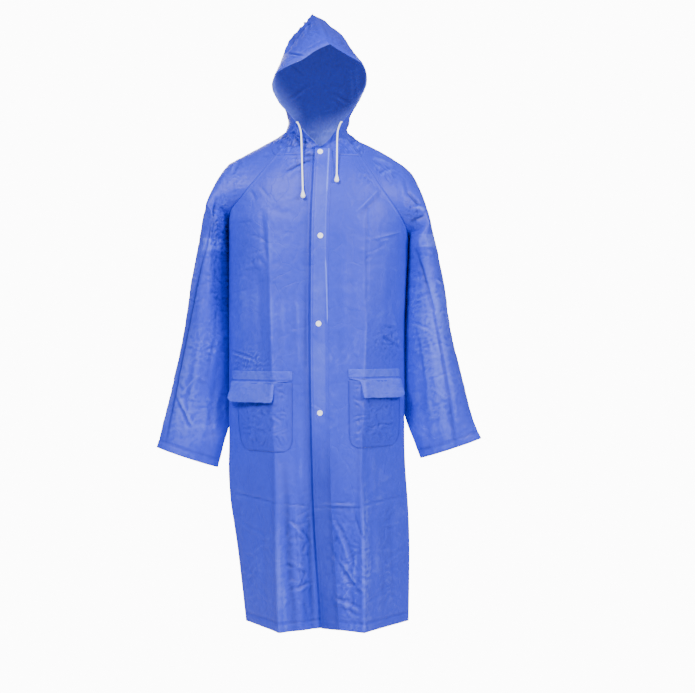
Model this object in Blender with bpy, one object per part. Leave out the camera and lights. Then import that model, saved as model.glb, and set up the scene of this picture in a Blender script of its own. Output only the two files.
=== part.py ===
"""Long hooded raincoat of blue film, worn and hollow, with raglan sleeves.

The coat stands in metres, +Z up, and faces -Y. Its origin is the middle of the
shoulders, where the wearer holds it up. Right and left are the wearer's: the right
side is at -X. Tables and sizes are in millimetres and become metres in the meshes.
"""

import math
from types import SimpleNamespace

import bpy
import numpy as np

MM = 0.001
RIGHT, LEFT = -1, 1
FRONT, BACK = -1, 1
SIDES = ((RIGHT, "right"), (LEFT, "left"))

# ---- driving sizes, in mm -------------------------------------------------------------

WALL = 1.5            # cloth wall
SEAM_GAP = 0.3        # between two pieces that meet at a seam
HEM_Z = -1082.0
SECTION_POWER = 2.4   # roundness of a body section: 2 is an ellipse
UNDERLAP = 45.0       # how far the right front runs on under the left one
UNDERLAP_STEP = 3.2   # how far it lies inside the left front there
UNDERLAP_RUN_IN = 10.0
PLACKET_WIDTH = 39.0
PLACKET_THICKNESS = 1.0
PATCH_GAP = 0.5       # between a panel and a piece that lies on it
PATCH_THICKNESS = 1.2

# ---- how many columns and rows each piece has -----------------------------------------

SIDE_COLUMNS = 5      # side seam to pressed crease
MIDDLE_COLUMNS = 4    # pressed crease to the front edge or the back's middle
SLEEVE_COLUMNS = 16
ROWS_ABOVE_UNDERARM = 8
SLEEVE_ROWS = 11

# ---- small shape factors ---------------------------------------------------------------

NECK_Z_CENTRE = -8.0      # the neck seam's height at the collar snap, in mm
NECK_Z_BACK = 22.0        # and in the middle of the back, in mm
NECK_STEP = (22.0, 38.0)  # where it drops from the collar snap to the front, in mm
UNDERLAP_DROP = 1.0       # how far the underlap stays below the left neck seam, in mm
TOP_LINE_BACK = 4.0       # how far the sleeve's top line leans back at the neck, in mm
SEAM_SHARE = 0.6          # of the seam gap that each of the two pieces gives up
SLEEVE_PINCH = 0.3        # how far a pressed sleeve's curves run along its flat
RIM_HANDLE = (0.5, 0.12, 0.3)      # shares of a hood row's way, for its curve's handles
EAR_HANDLE = (0.0, 0.5, 0.25)
EAR_HANDLE_BACK = (0.0, 0.55, 0.3)
BACK_HANDLE = (0.55, 0.0, 0.2)


class Table:
    """Rows of sizes with named columns, read between its rows by a smooth curve."""

    def __init__(self, columns, *rows):
        self.names = columns.split()
        self.rows = np.array(sorted(rows), float)

    def __call__(self, at):
        keys = self.rows[:, 0]
        at = min(max(at, keys[0]), keys[-1])
        i = min(int(np.searchsorted(keys, at, side="right")) - 1, len(keys) - 2)
        step = keys[i + 1] - keys[i]
        s = (at - keys[i]) / step
        low, high = self.rows[i], self.rows[i + 1]
        rise = (high - low) / step
        start = self.slope(i, rise) * step
        end = self.slope(i + 1, rise) * step
        value = (low * (1 + 2 * s) * (1 - s) ** 2 + start * s * (1 - s) ** 2
                 + high * s * s * (3 - 2 * s) + end * s * s * (s - 1))
        return SimpleNamespace(**dict(zip(self.names, value)))

    def slope(self, i, rise):
        """The slope at row i, held back so that the curve never overshoots its rows."""
        if i in (0, len(self.rows) - 1):
            return rise
        before = (self.rows[i] - self.rows[i - 1]) / (self.rows[i, 0] - self.rows[i - 1, 0])
        after = (self.rows[i + 1] - self.rows[i]) / (self.rows[i + 1, 0] - self.rows[i, 0])
        same_way = before * after > 0
        total = np.where(same_way, before + after, 1.0)
        return np.where(same_way, 2 * before * after / total, 0.0)


# ---- the body: half widths, depths and pressed creases at each height -----------------

TORSO = Table(
    "z     half_right half_left front back crease_right crease_left crease_front crease_back crisp",
    (25, 120, 112, 90, 85, 60, 60, 80, 78, 0),
    (-24, 145, 132, 107, 104, 80, 75, 95, 95, 0),
    (-60, 178, 165, 121, 113, 95, 88, 110, 104, 0),
    (-100, 203, 188, 131, 118, 105, 95, 120, 110, 0),
    (-165, 210.4, 203, 139, 121, 114, 99, 126, 114, 0),
    (-208, 210.4, 203, 140, 120, 115, 99, 126, 113, 0.08),
    (-300, 210.4, 198, 138, 116, 113, 100, 127, 110, 0.25),
    (-415, 210.4, 193.5, 134, 113, 110.7, 100.8, 131, 112, 0.45),
    (-510, 210.4, 193, 130, 115, 105.4, 96, 136, 118, 0.6),
    (-600, 210.4, 193, 126, 117, 102.5, 92, 140, 123, 0.7),
    (-682, 210.5, 193.5, 121, 118, 100.3, 89, 144, 128, 0.8),
    (-770, 211.5, 198, 115, 118, 96, 87.2, 149, 133, 0.9),
    (-807, 206.8, 201, 112, 118, 94.7, 90.3, 151, 136, 0.93),
    (-913, 191, 205, 107, 118, 93, 95.5, 155, 141, 1),
    (-1082, 171.5, 203, 100, 117, 90, 95.3, 160, 148, 1),
)

ROW_HEIGHTS = (-240, -283, -330, -375, -415, -462, -510, -560, -620, -682,
               -740, -807, -860, -920, -1000, HEM_Z)

# The free edge of the left front, from the neck to the hem.
FRONT_EDGE = Table(
    "z   x",
    (-8, -12),
    (-194, -20),
    (-415, -22),
    (-749, -17),
    (HEM_Z, 3),
)

# Raglan seams from the underarm (up = 0) to the neck (up = 1), as seen from the front and
# from the back, and the sleeve's top line over the shoulder. x is counted outwards.
RAGLAN = {
    RIGHT: Table(
        "up   front_x front_z back_x back_z top_x top_z",
        (0, 210.4, -165, 210.4, -165, 269, -160),
        (0.15, 203, -143, 203, -143, 256, -121),
        (0.35, 183, -121, 183, -118, 240, -78),
        (0.6, 148, -78, 150, -72, 212, -37),
        (0.8, 125, -49, 120, -38, 165, -9),
        (1, 103.5, -22, 76, 14, 104, 25),
    ),
    LEFT: Table(
        "up   front_x front_z back_x back_z top_x top_z",
        (0, 203, -208, 203, -208, 262, -205),
        (0.15, 194, -184, 193, -180, 249, -160),
        (0.35, 172, -147, 170, -135, 233, -105),
        (0.6, 140, -101, 140, -82, 211, -56),
        (0.8, 116, -62, 112, -38, 160, -17),
        (1, 92, -24, 74, 14, 88, 20),
    ),
}

# How the sleeve leaves its raglan seams: the angle from straight outwards, forwards in
# front and backwards behind, and the fullness before it turns over the top line.
SLEEVE_HEAD = Table(
    "up   front_angle front_reach back_angle back_reach top_front top_back",
    (0, 90, 112, 90, 104, 112, 104),
    (0.15, 36, 75, 36, 70, 95, 90),
    (0.35, 2, 60, 2, 58, 80, 76),
    (0.6, -25, 46, -22, 46, 66, 62),
    (0.8, -38, 36, -34, 36, 52, 50),
    (1, -58, 30, -45, 30, 34, 30),
)

# Sleeve sections from the underarm (down = 0) to the cuff (down = 1).
SLEEVE = {
    RIGHT: Table(
        "down outer_x outer_z inner_x inner_z front back middle crisp",
        (0, 269, -160, 210.4, -165, 84, 78, 0, 0),
        (0.1, 280, -212, 213.6, -222, 80, 74, 0, 0.05),
        (0.3, 300, -322, 213.8, -338, 72, 66, -2, 0.15),
        (0.46, 313, -414, 213.8, -432, 64, 58, -4, 0.3),
        (0.63, 332, -506, 213.8, -530, 53, 48, -7, 0.45),
        (0.8, 355, -603, 214.5, -628, 40, 36, -10, 0.6),
        (1, 375, -683, 235, -729, 27, 25, -13, 0.7),
    ),
    LEFT: Table(
        "down outer_x outer_z inner_x inner_z front back middle crisp",
        (0, 262, -205, 203, -208, 84, 78, 0, 0),
        (0.1, 273, -250, 204.6, -262, 80, 74, 0, 0.05),
        (0.25, 288, -330, 200.6, -348, 74, 68, -1, 0.12),
        (0.42, 299.5, -414, 197, -432, 65, 60, -4, 0.28),
        (0.62, 325, -520, 196.6, -542, 53, 48, -7, 0.45),
        (0.82, 350, -618, 207, -640, 39, 35, -10, 0.6),
        (1, 368.5, -662.5, 229, -708, 27, 25, -13, 0.7),
    ),
}

# Hood rows from the neck seam up to the centre seam on top. Each row runs from the face
# edge (rim) round the side of the head to the middle of the back.
HOOD = {
    RIGHT: Table(
        "row rim_x rim_y rim_z side_x side_y side_z back_y back_z",
        (1, 9, -103, 1, 88, 5, 37, 95, 35),
        (2, 25.7, -104, 18, 78, 5, 46, 102, 50),
        (3, 43.6, -101, 38.7, 75, 5, 60, 110, 68),
        (4, 58, -97, 55, 77, 5, 76, 118, 86),
        (5, 73, -90, 74, 82, 3, 94, 126, 106),
        (6, 91, -82, 93, 93, 0, 116, 132, 128),
        (7, 109, -75, 130, 104, 0, 143, 135, 152),
        (8, 102, -80, 158.6, 103, 0, 172, 134, 178),
        (9, 84, -92, 171, 93, 0, 200, 128, 204),
        (10, 62, -108, 179, 82, 2, 228, 117, 230),
        (11, 39, -120, 187, 66, 5, 258, 100, 258),
        (12, 9, -131, 205, 38, 8, 289, 70, 290),
        (13, -20.4, -136, 217.5, 6, -10, 302, 25, 318),
    ),
    LEFT: Table(
        "row rim_x rim_y rim_z side_x side_y side_z back_y back_z",
        (1, 6, -106, -2, 76, 5, 30, 95, 35),
        (2, 23.5, -104, 16, 62, 5, 43, 102, 50),
        (3, 39, -101, 38.7, 65, 5, 57, 110, 68),
        (4, 54, -96, 57, 68, 5, 74, 118, 86),
        (5, 70.7, -88, 78.7, 77, 3, 92, 126, 106),
        (6, 88.8, -80, 106.8, 91, 0, 115, 132, 128),
        (7, 102.5, -75, 134.7, 102, 0, 143, 135, 152),
        (8, 103.5, -78, 159, 104, 0, 171, 134, 178),
        (9, 93, -90, 181.5, 98, 0, 194, 128, 204),
        (10, 80, -100, 189, 85, 2, 214, 117, 230),
        (11, 65.8, -110, 194.6, 68, 5, 240, 100, 258),
        (12, 42, -125, 206, 46, 8, 270, 70, 290),
        (13, 20.4, -136, 217.5, -6, -10, 302, 25, 318),
    ),
}
HOOD_ROWS = 13
HOOD_SIDE_SHARE = 0.46   # share of a hood row that lies in front of the side of the head
NECK_FRONT_SHARE = 0.28  # share of the neck seam that lies on the front
NECK_BACK_SHARE = 0.78   # share up to where the back begins

# ---- hardware and cords, in mm --------------------------------------------------------

SNAP_PROFILE = ((5.2, 0), (6.2, 0.5), (6.2, 1.3), (5.0, 2.2), (2.4, 2.6))  # radius, height
SNAP_SIDES = 16
SNAP_GAP = 0.4
SNAPS = {"snap_collar": (-0.7, -17.7), "snap_chest": (-0.4, -206.8),
         "snap_waist": (-4.2, -401.3), "snap_hip": (-1.3, -599.2)}

CORD_DIAMETER = 3.6
CORD_STEP = 9.0
CORD_ROUTES = {
    "drawcord_right": ((-53.2, -100.1, 49.6), (-50.8, -106.8, 47.0), (-46.8, -109.8, 38.0),
                       (-43.8, -111.5, 26.0), (-42.6, -113.0, 8.0), (-42.0, -114.6, -10.0),
                       (-41.4, -117.6, -30.0), (-40.6, -124.6, -58.0),
                       (-39.8, -131.9, -84.0), (-39.1, -137.6, -106.0)),
    "drawcord_left": ((47.6, -99.8, 50.3), (45.4, -106.8, 47.8), (41.6, -109.8, 39.0),
                      (38.4, -111.5, 27.0), (37.2, -113.0, 10.0), (36.8, -114.6, -8.0),
                      (36.6, -117.2, -26.0), (36.4, -122.4, -46.0), (36.1, -129.4, -70.2)),
}
CORD_TIP_PROFILE = ((1.7, 0), (2.4, 0.8), (2.9, 4), (4.4, 9), (5.2, 13), (4.6, 15.6),
                    (2.6, 17.4), (1.2, 18.5))
CORD_TIP_SIDES = 12

# ---- pieces that lie on the fronts: their outlines, x counted outwards -----------------

POCKET = {
    RIGHT: ((-533, 190, 62), (-560, 188, 62), (-620, 186, 62), (-660, 181, 62.5),
            (-678, 174, 68), (-686, 160, 80)),
    LEFT: ((-527, 182, 62), (-560, 181, 62.5), (-620, 180, 63), (-650, 178, 64),
           (-668, 172, 68), (-677, 160, 82)),
}
# Height, outer x, inner x and how far the flap stands off the panel at its inner and its
# outer end. Its inner corner is creased under, so the lower rows start at the crease.
FLAP = {
    RIGHT: ((-507, 194, 62, 0.5, 0.5), (-528, 196, 62, 0.6, 0.6), (-533, 196, 100, 3.2, 4),
            (-545, 196, 103, 5.5, 10), (-568, 195, 103, 9, 19), (-577, 187, 104, 10.5, 20)),
    LEFT: ((-502, 178, 61, 0.5, 0.5), (-522, 180, 61, 0.6, 0.6), (-528, 180, 88, 3.2, 4),
           (-542, 180, 92, 5.5, 8), (-558, 179, 93, 8.5, 14), (-566, 172, 94, 10, 15)),
}


# ---- section and surface functions ----------------------------------------------------

def on_side(section, side, name):
    return getattr(section, name + ("_right" if side == RIGHT else "_left"))


def body_depth(face, x, section):
    """How far the cloth lies in front of or behind the side line, at x."""
    side = RIGHT if x < 0 else LEFT
    reach = abs(x)
    half = on_side(section, side, "half")
    crease = on_side(section, side, "crease")
    middle = section.front if face == FRONT else section.back
    ridge = section.crease_front if face == FRONT else section.crease_back
    fullness = max(0.0, 1 - (reach / half) ** SECTION_POWER) ** (1 / SECTION_POWER)
    pressed = np.interp(reach, (0, crease, half), (middle, ridge, 0))
    return (1 - section.crisp) * middle * fullness + section.crisp * pressed


def body_point(face, x, z):
    return np.array((x, face * body_depth(face, x, TORSO(z)), z))


def column_reach(column, z, side):
    """How far out a column lies, from the side seam (0) past the crease to the middle."""
    section = TORSO(z)
    half = on_side(section, side, "half")
    crease = on_side(section, side, "crease")
    if column <= SIDE_COLUMNS:
        return crease + (half - crease) * math.cos(math.pi / 2 * column / SIDE_COLUMNS)
    return crease * (1 - (column - SIDE_COLUMNS) / MIDDLE_COLUMNS)


def underarm_z(x):
    """Height of the row that joins the two underarms, which lie at unlike heights."""
    right, left = RAGLAN[RIGHT](0), RAGLAN[LEFT](0)
    return np.interp(x, (-right.front_x, left.front_x), (right.front_z, left.front_z))


def row_z(row, x):
    """Height of body row 0 (underarm) to the last (hem)."""
    if row == 0:
        return underarm_z(x)
    tilt = underarm_z(x) - underarm_z(0)
    return ROW_HEIGHTS[row - 1] + tilt * 0.5 ** row * (ROW_HEIGHTS[row - 1] > HEM_Z)


def front_end(side, z):
    """x where a front's own columns end: its edge, or where it dips under the left front."""
    edge = FRONT_EDGE(z).x
    return edge if side == LEFT else edge - UNDERLAP_RUN_IN


def body_row(face, side, row):
    """Points of one row, from the side seam to the front edge or the back's middle."""
    points = []
    for column in range(SIDE_COLUMNS + MIDDLE_COLUMNS + 1):
        z = ROW_HEIGHTS[row - 1] if row else underarm_z(0)
        for _ in range(3):
            x = side * column_reach(column, z, side)
            if face == FRONT and column > SIDE_COLUMNS:
                crease = side * on_side(TORSO(z), side, "crease")
                share = (column - SIDE_COLUMNS) / MIDDLE_COLUMNS
                x = crease + (front_end(side, z) - crease) * share
            z = row_z(row, x)
        points.append(body_point(face, x, z))
    return points


def neck_z(face, side, x):
    """Height of the neck seam: it rises to the collar snap in the middle of the front."""
    corner = RAGLAN[side](1)
    if face == BACK:
        return np.interp(abs(x), (0, corner.back_x), (NECK_Z_BACK, corner.back_z))
    return np.interp(abs(x), NECK_STEP, (NECK_Z_CENTRE, corner.front_z))


def upper_row(face, side, up):
    """Points of a row above the underarm, from the raglan seam inwards."""
    seam = RAGLAN[side](up)
    seam_x, seam_z = ((seam.front_x, seam.front_z) if face == FRONT
                      else (seam.back_x, seam.back_z))
    underarm = body_row(face, side, 0)
    middle_z = np.interp(up, (0, 1), (underarm_z(0), neck_z(face, side, 0)))
    points = []
    for start in underarm:
        end_x = underarm[-1][0] if face == BACK else front_end(side, middle_z)
        share = (start[0] - underarm[-1][0]) / (underarm[0][0] - underarm[-1][0])
        x = end_x + (side * seam_x - end_x) * share
        z = middle_z + (seam_z - middle_z) * share
        if up == 1:
            z = neck_z(face, side, x) if share < 1 else seam_z
        points.append(body_point(face, x, z))
    return points


def bezier(start, near_start, near_end, end, s):
    return (start * (1 - s) ** 3 + near_start * 3 * s * (1 - s) ** 2
            + near_end * 3 * s * s * (1 - s) + end * s ** 3)


def sleeve_section(inner, outer, leave, arrive, columns):
    """Two curves: from the inner front seam over the top line to the inner back seam."""
    half = columns // 2
    front = [bezier(inner[0], inner[0] + leave[0], outer + arrive[0], outer, i / half)
             for i in range(half)]
    back = [bezier(outer, outer + arrive[1], inner[1] + leave[1], inner[1], i / half)
            for i in range(half + 1)]
    return front + back


def sleeve_head_row(side, up, columns=SLEEVE_COLUMNS):
    seam, head = RAGLAN[side](up), SLEEVE_HEAD(up)
    front = body_point(FRONT, side * seam.front_x, seam.front_z)
    back = body_point(BACK, side * seam.back_x, seam.back_z)
    top = np.array((side * seam.top_x, TOP_LINE_BACK * up, seam.top_z))
    front_angle, back_angle = math.radians(head.front_angle), math.radians(head.back_angle)
    leave = (
        np.array((side * math.cos(front_angle) * head.front_reach,
                  -math.sin(front_angle) * head.front_reach, (top[2] - front[2]) / 3)),
        np.array((side * math.cos(back_angle) * head.back_reach,
                  math.sin(back_angle) * head.back_reach, (top[2] - back[2]) / 3)),
    )
    arrive = (np.array((0, -head.top_front, 0)), np.array((0, head.top_back, 0)))
    return sleeve_section((front, back), top, leave, arrive, columns)


def sleeve_ring(side, down, columns=SLEEVE_COLUMNS):
    cut = SLEEVE[side](down)
    outer = np.array((side * cut.outer_x, cut.middle, cut.outer_z))
    inner = np.array((side * cut.inner_x, cut.middle, cut.inner_z))
    pinch = (outer - inner) * SLEEVE_PINCH * cut.crisp
    front = np.array((0, -cut.front * 4 / 3, 0))
    back = np.array((0, cut.back * 4 / 3, 0))
    return sleeve_section((inner, inner), outer, (front + pinch, back + pinch),
                          (front - pinch, back - pinch), columns)


def hood_row(side, row, shares):
    """One hood row at the given shares of its way from the face edge to the back."""
    cut = HOOD[side](row)
    rim = np.array((side * cut.rim_x, cut.rim_y, cut.rim_z))
    ear = np.array((side * cut.side_x, cut.side_y, cut.side_z))
    back = np.array((side * cut.side_x if row == HOOD_ROWS else 0, cut.back_y, cut.back_z))
    way, turn = ear - rim, back - ear
    points = []
    for share in shares:
        if share <= HOOD_SIDE_SHARE:
            points.append(bezier(rim, rim + way * RIM_HANDLE, ear - way * EAR_HANDLE,
                                 ear, share / HOOD_SIDE_SHARE))
        else:
            points.append(bezier(ear, ear + turn * EAR_HANDLE_BACK, back - turn * BACK_HANDLE,
                                 back, (share - HOOD_SIDE_SHARE) / (1 - HOOD_SIDE_SHARE)))
    return points


# ---- the cloth's shared surface -------------------------------------------------------

class Cloth:
    """One outer surface whose points are shared at the seams; each face has its piece."""

    def __init__(self):
        self.points, self.index, self.pieces = [], {}, {}

    def point(self, place):
        key = tuple(np.round(place, 3))
        if key not in self.index:
            self.index[key] = len(self.points)
            self.points.append(np.array(place, float))
        return self.index[key]

    def grid(self, piece, rows, outwards):
        """Faces between rows of points; outwards is 1 or -1 for the way they face."""
        ids = [[self.point(place) for place in row] for row in rows]
        faces = self.pieces.setdefault(piece, [])
        for low, high in zip(ids, ids[1:]):
            for a, b, c, d in zip(low, low[1:], high[1:], high):
                corners = [a, b, c, d] if outwards > 0 else [d, c, b, a]
                corners = [v for n, v in enumerate(corners) if v != corners[n - 1]]
                if len(corners) > 2:
                    faces.append(corners)
        return ids

    def normals(self):
        places = np.array(self.points)
        total = np.zeros_like(places)
        for faces in self.pieces.values():
            for corners in faces:
                normal = face_normal(places[corners])
                for v in corners:
                    total[v] += normal
        return total / np.linalg.norm(total, axis=1)[:, None]


def face_normal(places):
    following = np.roll(places, -1, axis=0)
    return np.cross(places, following).sum(axis=0) / 2


def unit(vector):
    length = np.linalg.norm(vector)
    return vector / length if length else vector


def seam_insets(cloth, piece, places):
    """How far each seam point of a piece moves away from its neighbours' faces."""
    centres = {}
    for owner, faces in cloth.pieces.items():
        for corners in faces:
            for v in corners:
                centres.setdefault(v, {}).setdefault(owner, []).append(places[corners].mean(axis=0))
    insets = {}
    for v, owners in centres.items():
        if piece in owners and len(owners) > 1:
            own = np.mean(owners[piece], axis=0)
            others = np.mean([c for name, group in owners.items() if name != piece for c in group],
                             axis=0)
            insets[v] = unit(own - others) * SEAM_GAP * SEAM_SHARE
    return insets


def add_object(name, places, faces, material):
    """A closed mesh, with its places in mm, as one object."""
    mesh = bpy.data.meshes.new(name)
    mesh.from_pydata([tuple(np.asarray(p) * MM) for p in places], [], faces)
    mesh.materials.append(material)
    mesh.shade_smooth()
    mesh.set_sharp_from_angle(angle=math.radians(40))
    thing = bpy.data.objects.new(name, mesh)
    bpy.context.scene.collection.objects.link(thing)
    return thing


def closed_solid(name, places, shell, material):
    """A solid from an outer shell; the second half of its places is the inner side."""
    count = len(places) // 2
    lining = [[v + count for v in reversed(corners)] for corners in shell]
    edges = {(a, b) for corners in shell for a, b in zip(corners, corners[1:] + corners[:1])}
    rim = [[b, a, a + count, b + count] for a, b in sorted(edges) if (b, a) not in edges]
    return add_object(name, places, shell + lining + rim, material)


def wall_solid(cloth, piece, places, normals, thickness, material):
    """A piece of cloth with its thickness inwards, its edges closed by a narrow rim."""
    faces = cloth.pieces[piece]
    insets = seam_insets(cloth, piece, places)
    used = sorted({v for corners in faces for v in corners})
    number = {v: n for n, v in enumerate(used)}
    outer = [places[v] + insets.get(v, 0) for v in used]
    inner = [place - normals[v] * thickness for place, v in zip(outer, used)]
    shell = [[number[v] for v in corners] for corners in faces]
    return closed_solid(piece, outer + inner, shell, material)


def plain_material(name, colour, roughness):
    material = bpy.data.materials.new(name)
    material.use_nodes = True
    shader = material.node_tree.nodes["Principled BSDF"]
    shader.inputs["Base Color"].default_value = (*colour, 1)
    shader.inputs["Roughness"].default_value = roughness
    shader.inputs["Metallic"].default_value = 0
    return material


# ---- the pieces of the shell ----------------------------------------------------------

def underlap_row(row):
    """The right front's row, with the part that dips under the left front added."""
    z = row[-1][2]
    edge = FRONT_EDGE(z).x
    inside = [body_point(FRONT, x, min(z, neck_z(FRONT, LEFT, x) - UNDERLAP_DROP))
              + (0, UNDERLAP_STEP, 0)
              for x in (edge - 1, edge + UNDERLAP / 3, edge + UNDERLAP)]
    return row + inside


def body_rows(face, side):
    """All rows of a panel's half, from the hem up to the neck."""
    below = [body_row(face, side, row) for row in range(len(ROW_HEIGHTS), -1, -1)]
    ups = [(n + 1) / ROWS_ABOVE_UNDERARM for n in range(ROWS_ABOVE_UNDERARM)]
    return below + [upper_row(face, side, up) for up in ups]


def sleeve_rows(side):
    """All rows of a sleeve, from the cuff up to the neck."""
    below = [sleeve_ring(side, 1 - n / SLEEVE_ROWS) for n in range(SLEEVE_ROWS)]
    ups = [n / ROWS_ABOVE_UNDERARM for n in range(ROWS_ABOVE_UNDERARM + 1)]
    return below + [sleeve_head_row(side, up) for up in ups]


def hood_rows(side, neck):
    """All rows of a hood half, from the neck seam, whose points it shares, to the top."""
    columns = SIDE_COLUMNS + MIDDLE_COLUMNS
    extra = len(neck) - (2 * columns + SLEEVE_COLUMNS + 1)
    shares = np.concatenate((
        np.zeros(extra),
        np.linspace(0, NECK_FRONT_SHARE, columns, endpoint=False),
        np.linspace(NECK_FRONT_SHARE, NECK_BACK_SHARE, SLEEVE_COLUMNS, endpoint=False),
        np.linspace(NECK_BACK_SHARE, 1, columns + 1),
    ))
    return [neck] + [hood_row(side, row, shares) for row in range(1, HOOD_ROWS + 1)]


def build_shell(film):
    """Fronts, back, sleeves and hood halves; gives the two fronts' surfaces back."""
    cloth = Cloth()
    fronts = {side: body_rows(FRONT, side) for side in (RIGHT, LEFT)}
    backs = {side: body_rows(BACK, side) for side in (RIGHT, LEFT)}
    sleeves = {side: sleeve_rows(side) for side in (RIGHT, LEFT)}
    under = [underlap_row(row) for row in fronts[RIGHT]]
    front_ids = {}
    for side, word in SIDES:
        rows = under if side == RIGHT else fronts[LEFT]
        front_ids[side] = np.array(cloth.grid(f"front_panel_{word}", rows, -side))
        cloth.grid("back_panel", backs[side], side)
        cloth.grid(f"sleeve_{word}", sleeves[side], side)
        neck_front = list(reversed(rows[-1][:-1] if side == RIGHT else rows[-1]))
        neck = neck_front + sleeves[side][-1][1:] + backs[side][-1][1:]
        cloth.grid(f"hood_panel_{word}", hood_rows(side, neck), side)
    places, normals = np.array(cloth.points), cloth.normals()
    for piece in cloth.pieces:
        wall_solid(cloth, piece, places, normals, WALL, film)
    return {side: (places[ids], normals[ids]) for side, ids in front_ids.items()}


# ---- pieces that lie on the fronts ----------------------------------------------------

def row_at(surface, z, column=SIDE_COLUMNS):
    """Points and normals of a front's columns, where the given column has this height."""
    places, normals = surface
    heights = places[:, column, 2]
    at = np.interp(z, heights, np.arange(len(heights)))
    low = min(int(at), len(heights) - 2)
    share = at - low
    return (places[low] * (1 - share) + places[low + 1] * share,
            normals[low] * (1 - share) + normals[low + 1] * share)


def spot_at(line, leans, column):
    low = min(int(column), len(line) - 2)
    share = column - low
    return (line[low] * (1 - share) + line[low + 1] * share,
            unit(leans[low] * (1 - share) + leans[low + 1] * share))


def column_of(line, x):
    """Which column, or how far between two, lies at x."""
    own = line[:SIDE_COLUMNS + MIDDLE_COLUMNS + 1, 0]
    order = np.argsort(own)
    return float(np.interp(x, own[order], order))


def patch_solid(name, surface, side, outline, thickness, material):
    """A piece made from the front's own points, moved out; outline rows as in FLAP."""
    lines = [row_at(surface, z) for z, *_ in outline]
    ends = [(column_of(line, side * outer), column_of(line, side * inner))
            for (line, _), (_, outer, inner, *_) in zip(lines, outline)]
    first, last = min(e[0] for e in ends), max(e[1] for e in ends)
    between = [k for k in range(SIDE_COLUMNS + MIDDLE_COLUMNS + 1) if first < k < last]
    lower, upper = [], []
    for (line, leans), (start, end), (*_, inner_lift, outer_lift) in zip(lines, ends, outline):
        step = (end - start) / 100
        columns = [start]
        for n, k in enumerate(between):
            columns.append(min(max(k, start + step * (n + 1)), end - step * (len(between) - n)))
        columns.append(end)
        low, high = [], []
        for column in columns:
            place, lean = spot_at(line, leans, column)
            lift = np.interp(column, (start, end), (outer_lift, inner_lift))
            low.append(place + lean * lift)
            high.append(place + lean * (lift + thickness))
        lower.append(low)
        upper.append(high)
    return sheet_solid(name, upper, lower, side, material)


def sheet_solid(name, upper, lower, side, material):
    """A closed solid between two like grids of points, rows top to bottom."""
    rows, columns = len(upper), len(upper[0])
    places = [p for row in upper for p in row] + [p for row in lower for p in row]
    shell = []
    for r in range(rows - 1):
        for c in range(columns - 1):
            a = r * columns + c
            corners = [a, a + columns, a + columns + 1, a + 1]
            shell.append(corners if side == RIGHT else corners[::-1])
    return closed_solid(name, places, shell, material)


def build_placket(front, film):
    """The strip on the left front's free edge, from the hem to the collar."""
    places, normals = front
    upper, lower = [], []
    for line, leans in zip(places[::-1], normals[::-1]):
        start = column_of(line, line[-1][0] + PLACKET_WIDTH)
        middle = SIDE_COLUMNS + MIDDLE_COLUMNS
        spots = [spot_at(line, leans, column) for column in (start, middle - 1, middle)]
        lower.append([place + lean * PATCH_GAP for place, lean in spots])
        upper.append([place + lean * (PATCH_GAP + PLACKET_THICKNESS) for place, lean in spots])
    sheet_solid("front_placket", upper, lower, LEFT, film)


def build_pockets(fronts, film):
    for side, word in SIDES:
        pocket = [(*cut, PATCH_GAP, PATCH_GAP) for cut in POCKET[side]]
        patch_solid(f"pocket_{word}", fronts[side], side, pocket, PATCH_THICKNESS, film)
        patch_solid(f"pocket_flap_{word}", fronts[side], side, FLAP[side],
                    PATCH_THICKNESS, film)


# ---- turned pieces and cords ----------------------------------------------------------

def turned_solid(name, centre, axis, profile, sides, material):
    """A round piece: rings of the given radius at the given way along its axis."""
    axis = unit(np.asarray(axis, float))
    across = unit(np.cross(axis, (1, 0, 0.3)))
    other = np.cross(axis, across)
    places = []
    for radius, height in profile:
        for n in range(sides):
            turn = 2 * math.pi * n / sides
            places.append(centre + axis * height
                          + (across * math.cos(turn) + other * math.sin(turn)) * radius)
    faces = [[r * sides + n, r * sides + (n + 1) % sides,
              (r + 1) * sides + (n + 1) % sides, (r + 1) * sides + n]
             for r in range(len(profile) - 1) for n in range(sides)]
    top = (len(profile) - 1) * sides
    faces.append([top + n for n in range(sides)])
    faces.append([n for n in reversed(range(sides))])
    return add_object(name, places, faces, material)


def build_snaps(front, plastic):
    edge = SIDE_COLUMNS + MIDDLE_COLUMNS
    for name, (x, z) in SNAPS.items():
        line, leans = row_at(front, z, edge)
        above = row_at(front, z + SNAP_PROFILE[1][0], edge)[0]
        column = column_of(line, x)
        place, _ = spot_at(line, leans, column)
        higher, _ = spot_at(above, leans, column)
        lean = unit(np.cross(place - higher, line[edge - 1] - line[edge]))
        seat = place + lean * (PATCH_GAP + PLACKET_THICKNESS + SNAP_GAP)
        turned_solid(name, seat, lean, SNAP_PROFILE, SNAP_SIDES, plastic)


def smooth_route(points, step):
    """Evenly spaced places on a smooth curve through hand-set points."""
    knots = np.array(points, float)
    knots = np.vstack((2 * knots[0] - knots[1], knots, 2 * knots[-1] - knots[-2]))
    fine = []
    for a, b, c, d in zip(knots, knots[1:], knots[2:], knots[3:]):
        for s in np.linspace(0, 1, 20, endpoint=False):
            fine.append(0.5 * (2 * b + (c - a) * s + (2 * a - 5 * b + 4 * c - d) * s ** 2
                               + (3 * b - a - 3 * c + d) * s ** 3))
    fine = np.array(fine + [knots[-2]])
    along = np.concatenate(([0], np.cumsum(np.linalg.norm(np.diff(fine, axis=0), axis=1))))
    even = np.linspace(0, along[-1], max(2, round(along[-1] / step)) + 1)
    return np.array([[np.interp(at, along, fine[:, k]) for k in range(3)] for at in even])


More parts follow.
